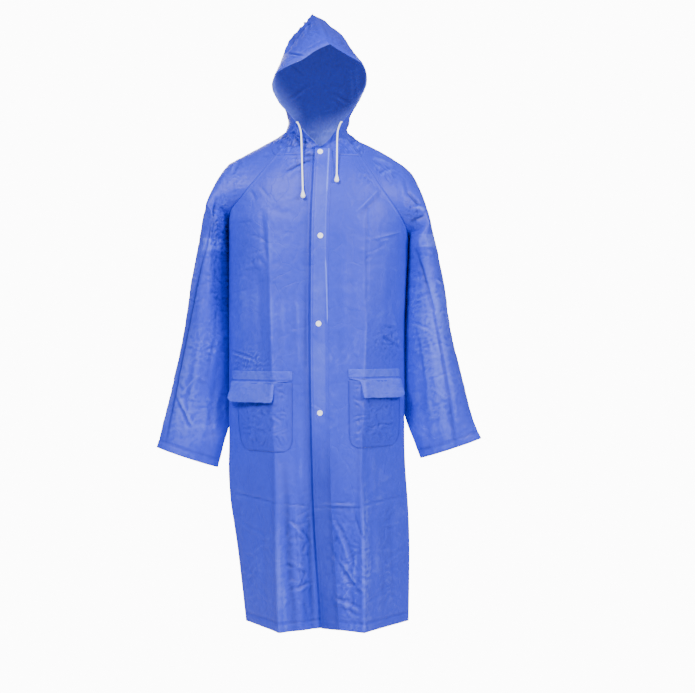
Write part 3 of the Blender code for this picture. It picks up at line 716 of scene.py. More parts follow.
film_warp = add_node(film_tree, "ShaderNodeTexNoise",
                     {"Vector": (film_place, "Object"), "Scale": 7, "Detail": 2})
film_pulled = add_node(film_tree, "ShaderNodeVectorMath",
                       {0: (film_place, "Object"), 1: (1.0, 1.0, 0.5)}, operation="MULTIPLY")
film_bent = add_node(film_tree, "ShaderNodeVectorMath",
                     {0: (film_warp, "Color"), 1: (0.16, 0.16, 0.16),
                      2: (film_pulled, "Vector")}, operation="MULTIPLY_ADD")
film_facets = add_node(film_tree, "ShaderNodeTexVoronoi",
                       {"Vector": (film_bent, "Vector"), "Scale": 24, "Randomness": 1},
                       feature="DISTANCE_TO_EDGE")
film_lines = add_node(film_tree, "ShaderNodeMapRange",
                      {"Value": (film_facets, "Distance"), "From Min": 0.0, "From Max": 0.04})
film_grain = add_node(film_tree, "ShaderNodeTexNoise",
                      {"Vector": (film_place, "Object"), "Scale": 170, "Detail": 3})
film_broad = add_node(film_tree, "ShaderNodeBump",
                      {"Height": (film_packing, "Fac"), "Strength": 0.6, "Distance": 0.0016})
film_lined = add_node(film_tree, "ShaderNodeBump",
                      {"Height": (film_lines, "Result"), "Strength": 0.28, "Distance": 0.0009,
                       "Normal": (film_broad, "Normal")})
film_fine = add_node(film_tree, "ShaderNodeBump",
                     {"Height": (film_grain, "Fac"), "Strength": 0.2, "Distance": 0.0005,
                      "Normal": (film_lined, "Normal")})
film_gloss = add_node(film_tree, "ShaderNodeMapRange",
                      {"Value": (film_cloud, "Fac"), "From Min": 0.3, "From Max": 0.7,
                       "To Min": 0.46, "To Max": 0.58})
feed(film_tree, film_shader.inputs["Base Color"], film_colour, "Color")
feed(film_tree, film_shader.inputs["Roughness"], film_gloss, "Result")
feed(film_tree, film_shader.inputs["Normal"], film_fine, "Normal")
set_sockets(film_shader, {"IOR": 1.53, "Specular IOR Level": 0.33, "Subsurface Weight": 0.3,
                          "Subsurface Radius": (0.4, 0.6, 1.0), "Subsurface Scale": 0.0015})

# The film's inner face is embossed: matt and paler, in the same deep and pale places. Its
# paler colours are partly painted light, and it carries a faint painted glow, for the light that
# comes through the film.
film_inside = film_blue.copy()
film_inside.name = "pvc_film_blue_inner_face"
inside_nodes = film_inside.node_tree.nodes
inside_ramp = inside_nodes[film_colour.name].color_ramp
for element, code in zip(inside_ramp.elements, ("#2A3AA0", "#5566D2", "#93A4FF")):
    element.color = linear(code)
# Painted glow: emission standing in for the light that comes through the film.
set_sockets(inside_nodes[film_shader.name],
            {"Emission Color": linear("#7C7FDC"), "Emission Strength": 0.11})
set_sockets(inside_nodes[film_gloss.name], {"To Min": 0.7, "To Max": 0.8})

# Folds of the fronts: x, z, to x, to z, height, half width, bow, kind.
FRONT_FOLDS = (
    # pressed creases down both fronts
    (-117.2, -117.4, -100.3, -693.2, 2.4, 9, 0, SHARP),
    (-101.2, -659.9, -90, -1149, 4.2, 11, 0, SHARP),
    (-130.1, -144.1, -116.7, -264.1, -2.2, 6, -3, SOFT),
    (103.4, -126.3, 102.5, -393.1, -1.6, 4, 0, SOFT),
    (103.4, -348.6, 90, -726.6, 1.9, 8, 0, SHARP),
    (90, -659.9, 96.7, -1149, 3.6, 10, 0, SHARP),
    # pulls from the collar snap towards the shoulder
    (-11, -30, -76, -61, -5.5, 4, -1, SHARP),
    (-10, -24, -38, -25, -4.5, 3.4, 0, SHARP),
    (-25.6, -39.6, -85.6, -77.4, 2.9, 10, 0, SOFT),
    (-16.7, -15.1, -112.3, -21.8, 3.2, 6, 0, SOFT),
    # right chest
    (-201.2, -59.6, -179, -117.4, -2.6, 4, 0, PAIR),
    (-156.7, -99.6, -143.4, -126.3, -2.6, 4, 0, SHARP),
    (-141.2, -86.3, -112.3, -124.1, -1.6, 3, 0, SHARP),
    (-130.1, -139.6, -45.6, -168.5, -1.3, 9, 0, SOFT),
    (-167.9, -197.4, -114.5, -221.9, -1.7, 3, 3, SHARP),
    (-187.9, -173, -152.3, -173, -1.3, 4, 0, SHARP),
    (-163.4, -244.1, -116.7, -235.2, -1.5, 3, 0, SHARP),
    (-179, -277.5, -130.1, -266.4, 1.3, 5, 0, SOFT),
    (-201.2, -328.6, -152.3, -321.9, -1.2, 3, 0, SHARP),
    (-203.4, -464.2, -143.4, -484.2, -2.6, 3, 1, PAIR),
    (-199, -500, -103.4, -494, -1.8, 3, 1, SHARP),
    (-172.3, -255.2, -172.3, -459.8, 2.9, 12, 0, SOFT),
    (-139, -277.5, -130.1, -495.4, -2.6, 9, 0, SOFT),
    (-85.6, -348.6, -76.7, -499.8, 1.9, 8, 0, SOFT),
    (-52.2, -326.4, -45.6, -508.7, 1.9, 6, 0, SOFT),
    (-32.2, -304.1, -32.2, -508.7, -2.2, 6, 0, SOFT),
    # left chest
    (132.3, -97.4, 76.7, -155.2, 2.4, 5, 1, SHARP),
    (141.2, -106.3, 85.6, -166.3, -1.6, 6, 0, SOFT),
    (116.7, -213, 183.4, -193, 1.9, 3, 0, SHARP),
    (132.3, -217.4, 154.5, -210.8, 1.6, 4, 0, SHARP),
    (112.3, -241.9, 143.4, -224.1, -1.2, 3, 0, SHARP),
    (141.2, -405.3, 172.3, -412, -2.6, 4, 0, SHARP),
    (156.7, -419.8, 181.2, -413.1, -1.6, 4, 0, SHARP),
    (141.2, -433.1, 183.4, -457.6, -2.2, 5, 2, SOFT),
    (154.5, -348.6, 181.2, -464.2, 2.2, 7, 0, SOFT),
    (54.5, -193, 56.7, -437.5, 1.6, 10, 0, SOFT),
    (143.4, -248.6, 141.2, -415.3, 1.6, 9, 0, SOFT),
    (43.4, -415.3, 45.6, -508.7, -1.4, 8, 0, SOFT),
    # packing creases across, strongest below the pockets
    (-196.8, -786.6, -87.8, -800, -2.6, 3, 1, SHARP),
    (-87.8, -797.7, -18.9, -806.6, -1.6, 3, 0, SHARP),
    (-16.7, -808.8, 92.3, -804.4, 2.0, 3, 0, PAIR),
    (92.3, -802.2, 185.6, -793.3, -1.8, 3, 0, SHARP),
    (21.1, -802.2, 70, -806.6, 1.2, 3, 0, SHARP),
    (-21.1, -579.8, 12.2, -599.9, -1.4, 3, 0, PAIR),
    (-87.8, -533.2, -10, -537.6, -0.8, 3, 0, SHARP),
    (21.1, -533.2, 61.1, -530.9, -0.8, 3, 0, SHARP),
    # skirt
    (-72, -780, -66, -1110, -3.4, 11, 0, SOFT),
    (-47.8, -804.4, -44, -1120, 3.0, 10, 0, SOFT),
    (-28, -800, -16, -1120, -4.5, 8, 2, SOFT),
    (-60, -830, -52, -900, -1.8, 3, 2, SHARP),
    (-52, -905, -38, -985, -2.0, 3, -3, SHARP),
    (-66, -960, -48, -1040, 1.8, 4, 2, SHARP),
    (-36, -860, -30, -940, 1.8, 4, 0, SHARP),
    (-40, -1010, -26, -1060, -1.8, 3, 0, SHARP),
    (-179, -837.7, -165.6, -1060.1, 2.9, 12, 0, SOFT),
    (-130.1, -815.5, -123.4, -1071.2, -2.2, 10, 0, SOFT),
    (-67.8, -837.7, -18.9, -893.3, -2.6, 5, 3, PAIR),
    (-72.3, -926.7, -27.8, -953.4, 2.2, 5, -2, PAIR),
    (-63.4, -993.4, -21.1, -977.8, -1.9, 5, 0, PAIR),
    (30, -837.7, 65.6, -926.7, -2.6, 6, 4, PAIR),
    (43.4, -926.7, 92.3, -993.4, 2.6, 6, -4, PAIR),
    (27.8, -1015.6, 92.3, -1031.2, -2.2, 6, 2, PAIR),
    (65.6, -826.6, 70, -1071.2, -2.6, 10, 0, SOFT),
    (72, -806, 92, -868, -2.6, 3.4, -2, SHARP),
    (86, -858, 98, -880, -3.0, 4, 0, SHARP),
    (84, -884, 76, -1000, 2.0, 5, -5, SHARP),
    (26, -1030, 86, -1044, -1.8, 3, 3, SHARP),
    (30, -1010, 80, -1008, -1.4, 3, -3, SHARP),
    (34, -1046, 92, -1052, 1.4, 3, 2, SHARP),
    (100, -1016, 150, -1004, -1.2, 3, 2, SHARP),
    (24, -820, 58, -828, -1.4, 3, 0, SHARP),
    (20, -836, 40, -838, -1.2, 3, 0, SHARP),
    (-24, -812, -56, -826, -1.6, 3, 2, SHARP),
    (-24, -828, -52, -846, -1.4, 3, 2, SHARP),
    (-24, -850, -48, -858, 1.4, 3, 2, SHARP),
    (123.4, -820, 132.3, -1071.2, 2.6, 9, 0, SOFT),
    (159, -815.5, 167.9, -1049, -2.6, 9, 0, SOFT),
    (114.5, -682.1, 118.9, -793.3, 2.2, 8, 0, SOFT),
    (-1.1, -637.6, 3.3, -793.3, 1.6, 8, 0, SOFT),
    (-45.6, -615.4, -43.4, -793.3, 1.9, 7, 0, SOFT),
)
# Painted light and shade on the fronts, in the same layout, its tone for the height: painted shade
# in creases, beside the placket's edge and in the skirt's pleats, painted highlight beside them and
# on the shoulders.
FRONT_PAINTED_LIGHT_AND_SHADE = (
    (-8, -29, -80, -62, -0.34, 4, -1, SOFT),
    (-6, -23.5, -40, -25, -0.4, 3.4, 0, SOFT),
    (-30, -37, -70, -49, 0.1, 4, 0, SOFT),
    (-92, -700, -89, -1110, 0.08, 4, 0, SOFT),
    (-80, -700, -54, -1110, -0.34, 7, 0, SOFT),
    (-84, -960, -72, -1110, 0.12, 8, 0, SOFT),
    (-56, -830, -50, -1000, 0.03, 11, 0, SOFT),
    (-40, -740, -34, -1110, -0.2, 13, 0, SOFT),
    (-29, -60, -33, -520, -0.2, 7, 0, SOFT),
    (-33, -430, -10, -1110, -0.27, 9, 0, SOFT),
    (-124, -160, -108, -640, -0.05, 7, 0, SOFT),
    (-106, -160, -96, -640, 0.05, 7, 0, SOFT),
    (-106, -640, -98, -1110, -0.08, 8, 0, SOFT),
    (34, -640, 40, -1110, -0.06, 14, 0, SOFT),
    (84, -640, 90, -1110, -0.1, 5, 0, SOFT),
    (99, -640, 104, -1110, 0.08, 7, 0, SOFT),
    (150, -80, 198, -210, 0.08, 20, 0, SOFT),
    (-150, -80, -204, -170, 0.05, 20, 0, SOFT),
)
FRONT_CRUMPLES = (
    (-45.7, -928, 32, 138, 2.2, 17, 11),
    (59.1, -950.3, 46, 138, 2.6, 20, 23),
    (59.1, -950.3, 50, 150, -1.6, 26, 24),
    (101.5, -62.9, 23, 28, 2.6, 14, 31),
    (-157.2, -263.6, 37, 51, 1.5, 16, 41),
    (-157.2, -490, 55, 26, 3.0, 10, 43),
    (150, -445, 41, 32, 2.4, 11, 47),
    (159.4, -928, 32, 115, 2.0, 26, 53),
    (-157.2, -928, 46, 115, 1.6, 30, 59),
    (-1.1, -415.2, 230, 345, 0.7, 34, 61),
    (-56.9, -36.2, 32, 23, 2.4, 12, 67),
)
BACK_FOLDS = (
    (-116.7, -104, -101.2, -693.2, 2.0, 6, 0, PAIR),
    (-101.2, -659.9, -90, -1149, 2.4, 6, 0, PAIR),
    (103.4, -117.4, 90, -726.6, -2.0, 6, 0, PAIR),
    (90, -659.9, 96.7, -1149, 2.2, 6, 0, PAIR),
    (-187.9, -197.4, 185.6, -210.8, -1.8, 4, 2, PAIR),
    (-196.8, -490.9, 181.2, -477.6, 1.8, 4, -2, PAIR),
    (-196.8, -793.3, 185.6, -804.4, -2.6, 5, 0, PAIR),
    (-130.1, -81.8, -45.6, -197.4, -2.0, 9, 4, SOFT),
    (127.8, -81.8, 47.8, -193, -2.0, 9, -4, SOFT),
    (-45.6, -37.3, -54.5, -237.4, 1.8, 12, 0, SOFT),
    (43.4, -37.3, 50, -259.7, -1.4, 12, 0, SOFT),
    (-1.1, -15.1, 1.1, -1104.5, 0.8, 4, 0, SHARP),
    (-156.7, -348.6, -165.6, -748.8, 2.0, 14, 0, SOFT),
    (159, -326.4, 163.4, -726.6, 2.0, 14, 0, SOFT),
    (-45.6, -526.5, -54.5, -1060.1, -2.0, 12, 0, SOFT),
    (54.5, -548.7, 65.6, -1082.3, 2.0, 12, 0, SOFT),
    (-179, -837.7, -130.1, -1037.8, 2.0, 10, 6, SOFT),
    (167.9, -815.5, 132.3, -1060.1, -2.0, 10, 0, SOFT),
)
BACK_CRUMPLES = (
    (-45.7, -928, 69, 138, 2.4, 28, 71),
    (65.8, -638.2, 69, 138, 1.6, 26, 73),
    (-134.9, -259.1, 55, 92, 1.8, 20, 79),
    (132.7, -236.8, 55, 92, 1.8, 20, 83),
    (-1.1, -437.5, 230, 368, 0.9, 36, 89),
)
# Crinkles all over a piece: height and grain in mm, and the seed.
FRONT_CRINKLES = ((0.6, 75, 401), (0.3, 26, 405))
BACK_CRINKLES = ((1.2, 75, 411), (0.5, 26, 415))
# Each piece's flat cut: its width and length, and its area in square metres.
FRONT_CUTS = {RIGHT: ((0.345, 1.144), 0.319), LEFT: ((0.304, 1.138), 0.29)}
BACK_CUT = ((0.547, 1.18), 0.538)
HEM_FOLD = 20.0              # mm of film turned back and welded along the hem
WELD_LAP = 8.0               # mm that two pieces overlap at a welded seam
WELD_RISE = 0.6              # mm that the overlap stands proud
WELD_TONE = 0.1              # how much deeper the film is along a weld line
SEAM_FADE = (2, 24)          # mm from a seam between which the folds come in
BACK_SEAM_REACH = 40         # mm over which the back is drawn to the fronts' side seams

coarse_fronts = {side: np.array(body_rows(FRONT, side)) for side in (RIGHT, LEFT)}
coarse_backs = {side: np.array(body_rows(BACK, side)) for side in (RIGHT, LEFT)}
UNDERARM = len(ROW_HEIGHTS)
below = even_places(coarse_fronts[RIGHT][:UNDERARM + 1, SIDE_COLUMNS], STEP)
above = UNDERARM + even_places(coarse_fronts[RIGHT][UNDERARM:, 0], STEP)
body_rows_at = np.concatenate((below[:-1], above))
underarm = len(below) - 1
front_columns_at = {side: even_places(coarse_fronts[side][WIDTH_ROW], STEP)
                    for side in (RIGHT, LEFT)}
back_columns_at = {side: even_places(coarse_backs[side][WIDTH_ROW], BACK_STEP)
                   for side in (RIGHT, LEFT)}

under = np.array([underlap_row(list(row)) for row in coarse_fronts[RIGHT]])
neck_lap_at = FRONT_COLUMNS + even_places(under[UNDERARM, FRONT_COLUMNS:-1], STEP)[1:]
lap_at = np.concatenate((neck_lap_at,
                         FRONT_COLUMNS + 2 + even_places(under[UNDERARM, -2:], STEP)[1:]))
fronts = {
    RIGHT: fine_grid(under, body_rows_at, np.concatenate((front_columns_at[RIGHT], lap_at)),
                     (SIDE_COLUMNS, FRONT_COLUMNS, FRONT_COLUMNS + 1)),
    LEFT: fine_grid(coarse_fronts[LEFT], body_rows_at, front_columns_at[LEFT], (SIDE_COLUMNS,)),
}
halves = [fine_grid(coarse_backs[side], body_rows_at, back_columns_at[side], (SIDE_COLUMNS,))
          for side in (RIGHT, LEFT)]
for half, side in zip(halves, (RIGHT, LEFT)):
    gap = fronts[side][:underarm + 1, 0] - half[:underarm + 1, 0]
    near = np.exp(-(along_rows(half)[:underarm + 1] / BACK_SEAM_REACH) ** 2)
    half[:underarm + 1] += gap[:, None] * near[..., None]
back_middle = halves[0].shape[1] - 1
back = np.concatenate((halves[0], halves[1][:, -2::-1]), axis=1)


def weld_line(up, fold):
    """1 along the weld that holds a turned-back edge, down to 0 beside it."""
    return np.exp(-((up - fold) / 3) ** 2)


def turned_edge(up, fold):
    """A turned-back edge: a band that stands proud, with its weld line sunk 1 mm at its top."""
    return WELD_RISE * (1 - ease(up, fold - 1, fold + 2)) - weld_line(up, fold)


def seam_weld(reach):
    """A lapped weld: the edge stands proud and sinks at the seam."""
    return WELD_RISE * (1 - ease(reach, WELD_LAP - 1, WELD_LAP + 2)) * ease(reach, 0, 2)


front_leans = {}
for side, word in SIDES:
    grid = fronts[side]
    x, z, reach, up = grid[..., 0], grid[..., 2], along_rows(grid), up_columns(grid)
    rise = folds(FRONT_FOLDS, x, z) + crumples(FRONT_CRUMPLES, x, z)
    rise += crinkles(FRONT_CRINKLES, x, z)
    rise *= ease(reach, *SEAM_FADE) * ease(from_top(grid), 2, 10)
    if side == RIGHT:      # the underlap is flat and only follows the edge beside it
        own = len(front_columns_at[RIGHT])
        rise[:, own:] = rise[:, own - 1:own] * 0.3 - 0.5
    rise += turned_edge(up, HEM_FOLD) * ease(reach, 0, WELD_LAP) + seam_weld(reach)
    fronts[side] = grid + leans(grid, -side) * rise[..., None]
    front_leans[side] = leans(fronts[side], -side)
    # The fronts' tone: painted crease shade and highlight, the listed painted light and shade, and
    # the hem's deeper weld line.
    tone = crease_shade_and_whitening(rise) + folds(FRONT_PAINTED_LIGHT_AND_SHADE, x, z) - WELD_TONE * weld_line(up, HEM_FOLD)
    piece = film_sheet(f"front_panel_{word}_film", fronts[side], -side, tone)
    dress(piece, f"front_panel_{word}", *FRONT_CUTS[side], "draped", (f"sleeve_{word}",))

x, z, reach = back[..., 0], back[..., 2], along_rows(back)
reach = np.minimum(reach, reach[:, -1:] - reach)
rise = folds(BACK_FOLDS, x, z) + crumples(BACK_CRUMPLES, x, z) + crinkles(BACK_CRINKLES, x, z)
rise *= ease(reach, *SEAM_FADE) * ease(from_top(back), 2, 18)
welds = turned_edge(up_columns(back), HEM_FOLD) * ease(reach, 0, WELD_LAP) + seam_weld(reach)
back = back + leans(back, RIGHT) * (rise + welds)[..., None]
backs = {RIGHT: back[:, :back_middle + 1], LEFT: back[:, :back_middle - 1:-1]}
# The back's tone: painted shade in its hollows, and paler ridges, part whitened film and part
# painted highlight.
piece = film_sheet("back_panel_film", back, RIGHT, crease_shade_and_whitening(rise))
dress(piece, "back_panel", *BACK_CUT, "draped", ("sleeve_right", "sleeve_left"))

# ---- Sleeves ---------------------------------------------------------------------------------
# Raglan sleeves of the same film, cut full and pressed flat, welded along one seam under the
# arm. The cuffs are turned back and welded. They hang a little away from the body.

SLEEVE_COLUMNS = 16          # coarse columns round a sleeve
SLEEVE_ROWS = 11             # coarse rows from the cuff to the underarm
TOP_LINE_BACK = 4.0          # mm that the top line lies behind the coat's middle at the neck
SLEEVE_PINCH = 0.3           # how far a pressed section draws in at its two edges
SLEEVE_HEAD = Table(
    "up   front_angle front_reach back_angle back_reach top_front top_back",
    (0, 90, 112, 90, 104, 112, 104),
    (0.15, 36, 75, 36, 70, 95, 90),
    (0.35, 2, 60, 2, 58, 80, 76),
    (0.6, -25, 46, -22, 46, 66, 62),
    (0.8, -38, 36, -34, 36, 52, 50),
    (1, -58, 30, -45, 30, 34, 30),
)
SLEEVE = {
    RIGHT: Table(
        "down outer_x outer_z inner_x inner_z front back middle crisp",
        (0, 269, -160, 210.4, -165, 84, 78, 0, 0),
        (0.1, 280, -212, 213.6, -222, 80, 74, 0, 0.05),
        (0.3, 300, -322, 213.8, -338, 72, 66, -2, 0.15),
        (0.46, 313, -414, 213.8, -432, 64, 58, -4, 0.3),
        (0.63, 332, -506, 213.8, -530, 53, 48, -7, 0.45),
        (0.8, 355, -603, 214.5, -628, 40, 36, -10, 0.6),
        (1, 375, -683, 235, -729, 27, 25, -13, 0.7),
    ),
    LEFT: Table(
        "down outer_x outer_z inner_x inner_z front back middle crisp",
        (0, 262, -205, 203, -208, 84, 78, 0, 0),
        (0.1, 273, -250, 204.6, -262, 80, 74, 0, 0.05),
        (0.25, 288, -330, 200.6, -348, 74, 68, -1, 0.12),
        (0.42, 299.5, -414, 197, -432, 65, 60, -4, 0.28),
        (0.62, 325, -520, 196.6, -542, 53, 48, -7, 0.45),
        (0.82, 350, -618, 207, -640, 39, 35, -10, 0.6),
        (1, 368.5, -662.5, 229, -708, 27, 25, -13, 0.7),
    ),
}


def bezier(start, near_start, near_end, end, s):
    return (start * (1 - s) ** 3 + near_start * 3 * s * (1 - s) ** 2
            + near_end * 3 * s * s * (1 - s) + end * s ** 3)


def sleeve_section(inner, outer, leave, arrive):
    """Two curves: from the inner front seam over the top line to the inner back seam."""
    half = SLEEVE_COLUMNS // 2
    front = [bezier(inner[0], inner[0] + leave[0], outer + arrive[0], outer, i / half)
             for i in range(half)]
    back = [bezier(outer, outer + arrive[1], inner[1] + leave[1], inner[1], i / half)
            for i in range(half + 1)]
    return front + back


def sleeve_head_row(side, up):
    """Points of a row of the sleeve's head, up (0 to 1) the raglan seams."""
    seam, head = RAGLAN[side](up), SLEEVE_HEAD(up)
    front = body_point(FRONT, side * seam.front_x, seam.front_z)
    back = body_point(BACK, side * seam.back_x, seam.back_z)
    top = np.array((side * seam.top_x, TOP_LINE_BACK * up, seam.top_z))
    front_angle, back_angle = math.radians(head.front_angle), math.radians(head.back_angle)
    leave = (
        np.array((side * math.cos(front_angle) * head.front_reach,
                  -math.sin(front_angle) * head.front_reach, (top[2] - front[2]) / 3)),
        np.array((side * math.cos(back_angle) * head.back_reach,
                  math.sin(back_angle) * head.back_reach, (top[2] - back[2]) / 3)),
    )
    arrive = (np.array((0, -head.top_front, 0)), np.array((0, head.top_back, 0)))
    return sleeve_section((front, back), top, leave, arrive)


def sleeve_ring(side, down):
    """Points round the sleeve, down (0 to 1) from the underarm to the cuff."""
    cut = SLEEVE[side](down)
    outer = np.array((side * cut.outer_x, cut.middle, cut.outer_z))
    inner = np.array((side * cut.inner_x, cut.middle, cut.inner_z))
    pinch = (outer - inner) * SLEEVE_PINCH * cut.crisp
    front = np.array((0, -cut.front * 4 / 3, 0))
    back = np.array((0, cut.back * 4 / 3, 0))
    return sleeve_section((inner, inner), outer, (front + pinch, back + pinch),
                          (front - pinch, back - pinch))


def sleeve_rows(side):
    """All rows of a sleeve, from the cuff up to the neck."""
    below = [sleeve_ring(side, 1 - n / SLEEVE_ROWS) for n in range(SLEEVE_ROWS)]
    ups = [n / ROWS_ABOVE_UNDERARM for n in range(ROWS_ABOVE_UNDERARM + 1)]
    return below + [sleeve_head_row(side, up) for up in ups]


SLEEVE_CUTS = {RIGHT: ((0.366, 0.827), 0.248), LEFT: ((0.366, 0.798), 0.242)}
# A paler stretch of each upper arm, where two layers stick together: its lower and upper
# heights, its inner end, and how much paler it is.
SLEEVE_BANDS = {RIGHT: (-238, -205, -268), LEFT: (-230, -196, 219)}
BAND_TONE = 0.13
SLEEVE_PAINTED_LIGHT_AND_SHADE = {            # painted shade in the hollow beside the body and in creases, painted highlight beside the long crease and on the outer sleeves
    RIGHT: (
        (-236, -105, -226, -450, -0.14, 11, 0, SOFT),
        (-249, -122, -240, -340, -0.14, 3, 0, SHARP),
        (-235, -118, -257, -235, -0.2, 3.4, 0, SOFT),
        (-254, -205, -354, -678, -0.36, 3.2, -4, SOFT),
        (-268, -209, -369, -673, 0.07, 7, -4, SOFT),
        (-286, -240, -300, -330, 0.05, 14, 0, SOFT),
        (-292, -400, -318, -740, 0.13, 38, 0, SOFT),
        (-262, -560, -280, -700, 0.06, 16, 0, SOFT),
    ),
    LEFT: (
        (211, -150, 198, -400, -0.12, 6, 0, SOFT),
        (250, -350, 306, -660, -0.16, 3.4, 3, SOFT),
        (216, -228, 252, -370, -0.3, 3.4, 0, SOFT),
        (196.7, -105, 224, -137, -0.25, 4, 0, SOFT),
        (199, -171, 233, -157.5, -0.3, 4, 0, SOFT),
        (212, -137, 236, -146, 0.12, 6, 0, SOFT),
        (226, -224, 272, -392, 0.06, 9, 0, SOFT),
        (240, -300, 290, -740, 0.12, 40, 0, SOFT),
        (290, -569, 312, -690, -0.1, 4, 0, SOFT),
    ),
}
SLEEVE_CRINKLES = ((0.8, 60, 421), (0.5, 22, 425))
TUCK = np.array((-9, 38, 0))  # mm that a sleeve's inner edge lies behind the body's side
TUCK_REACH = 60              # mm over which the tuck fades out round the sleeve
TUCK_DOWN = (0, 70)          # mm below the underarm between which it sets in
TUCK_END = (590, 680)        # mm below the shoulders between which it runs out
SLEEVE_SEAM_REACH = 45       # mm over which the sleeve is drawn to the body's raglan seams
CUFF_FOLD = 18.0             # mm of film turned back and welded round the cuff
# Folds of the sleeves, seen from the front: right sleeve, then left.
SLEEVE_FOLDS = {
    RIGHT: (
        (-224, -107.4, -230.9, -137, -2.4, 4, 0, SHARP),
        (-237.7, -109.7, -246.8, -223.4, -2.6, 5, 0, PAIR),
        (-226.3, -132.4, -224, -425.8, -9, 22, 0, SOFT),
        (-235, -119, -262, -250, -3.2, 3.4, 0, SHARP),
        (-254.1, -205.2, -354.5, -678.3, -4.6, 3.4, -4, SHARP),
        (-268.2, -205.8, -370.6, -673.8, 1.6, 7, -4, SOFT),
        (-228, -340, -262, -540, -1.8, 3, 3, SHARP),
        (-244, -470, -300, -452, -1.4, 3, 2, SHARP),
        (-252, -500, -316, -560, 1.5, 3, -3, SHARP),
        (-262, -560, -240, -690, -1.6, 3, 2, SHARP),
        (-330, -560, -290, -640, 2.2, 5, 0, PAIR),
        (-253.6, -64.2, -269.5, -200.7, 2.2, 8, 0, SOFT),
        (-242.2, -414.5, -214.9, -432.7, -1.3, 4, 0, SHARP),
        (-274.1, -464.5, -224, -446.3, -1.2, 4, 0, SHARP),
        (-301.4, -510, -237.7, -546.4, 1.3, 4, 3, SHARP),
        (-315, -569.1, -251.3, -578.2, -1.0, 4, -2, SHARP),
        (-262.7, -346.2, -296.8, -619.2, 2.4, 12, 0, SOFT),
        (-224, -437.2, -262.7, -687.4, -2.6, 8, 0, SOFT),
        (-276.3, -414.5, -319.6, -664.7, -2.0, 8, 0, SOFT),
        (-201.3, -27.8, -230.9, -96, 2.0, 7, 0, SOFT),
        (-183.1, -23.3, -201.3, -64.2, -1.8, 5, 0, PAIR),
        (-133.1, -23.3, -108, -22.1, -1.6, 4, 0, SHARP),
        (-160.3, -23.3, -76.2, -5.1, 1.6, 8, 0, SOFT),
    ),
    LEFT: (
        (196.7, -105.1, 224, -137, -4.6, 5, 0, SHARP),
        (199, -171.1, 233.1, -157.5, -4.8, 5, 0, SHARP),
        (208.1, -137, 235.4, -146.1, 3.4, 7, 0, SOFT),
        (203.6, -150.6, 224, -132.4, 2.6, 5, 0, SHARP),
        (212.7, -168.8, 201.3, -346.2, 3.0, 7, 0, SOFT),
        (214.9, -228, 258.1, -373.5, -4.2, 3.4, 0, SHARP),
        (250, -350, 306, -660, -2.4, 3, 3, SHARP),
        (262, -360, 313, -650, 0.8, 7, 3, SOFT),
        (214, -400, 240, -560, -1.8, 3, 2, SHARP),
        (226, -455, 286, -440, -1.0, 3, 1, SHARP),
        (240, -540, 296, -580, 1.2, 3, 2, SHARP),
        (224, -223.4, 271.8, -391.7, 1.0, 8, 0, SOFT),
        (255.9, -259.8, 299.1, -414.5, 1.6, 6, 0, SOFT),
        (262.7, -298.5, 274.1, -309.8, -2.0, 4, 0, PAIR),
        (208.1, -398.6, 255.9, -421.3, -1.0, 4, 2, PAIR),
        (212.7, -450.9, 253.6, -437.2, -1.2, 4, 0, SHARP),
        (226.3, -487.3, 285.4, -464.5, 1.2, 4, 0, SHARP),
        (235.4, -528.2, 290, -510, -1.2, 4, 0, SHARP),
        (285.4, -569.1, 308.2, -685.1, -2.4, 5, 0, SHARP),
        (249.1, -414.5, 290, -687.4, 2.2, 10, 0, SOFT),
        (221.8, -460, 249.1, -698.8, -2.2, 9, 0, SOFT),
        (117.1, -27.8, 162.6, -46, 1.8, 6, 0, PAIR),
        (130.8, -64.2, 158.1, -50.6, -1.6, 5, 0, PAIR),
        (176.3, -68.8, 189.9, -130.2, 2.0, 7, 0, SOFT),
        (189.9, -73.3, 196.7, -109.7, -1.8, 5, 0, SHARP),
    ),
}
SLEEVE_CRUMPLES = {
    RIGHT: (
        (-224, -190, 20, 60, 5.5, 9, 101),
        (-224, -310.4, 21, 60, 3.4, 12, 103),
        (-226, -390, 23, 41, 1.8, 14, 107),
        (-250, -455, 45, 40, 2.0, 16, 109),
        (-299.9, -571.3, 60, 78, 1.3, 22, 113),
        (-184, -76.3, 32, 37, 1.8, 11, 127),
        (-268.7, -303.7, 41, 138, 1.2, 20, 131),
    ),
    LEFT: (
        (210.7, -152.1, 18, 28, 4.4, 11, 137),
        (214, -330, 20, 60, 1.5, 15, 138),
        (257.5, -415.2, 41, 60, 1.2, 19, 139),
        (239.7, -486.6, 40, 45, 1.2, 19, 149),
        (275.4, -593.6, 46, 78, 1.3, 22, 151),
        (141.6, -62.9, 37, 28, 2.8, 11, 157),
        (230.8, -303.7, 32, 138, 1.2, 20, 163),
    ),
}
SLEEVE_BACK_FOLDS = {
    side: tuple(
        (side * x0, z0, side * x1, z1, height, width, bow, kind)
        for x0, z0, x1, z1, height, width, bow, kind in (
            (222, -240, 262, -300, -4.0, 8, 6, SOFT),
            (218, -300, 268, -330, 3.0, 8, -4, PAIR),
            (236, -330, 300, -620, 2.6, 14, 0, SOFT),
            (262, -320, 330, -640, -2.8, 7, 0, SHARP),
            (230, -420, 300, -450, -3.0, 7, 4, PAIR),
            (228, -470, 306, -505, 2.6, 7, -4, PAIR),
            (240, -545, 320, -560, -2.2, 7, 0, PAIR),
            (250, -560, 300, -680, -2.4, 10, 0, SOFT),
        )
    )
    for side in (RIGHT, LEFT)
}

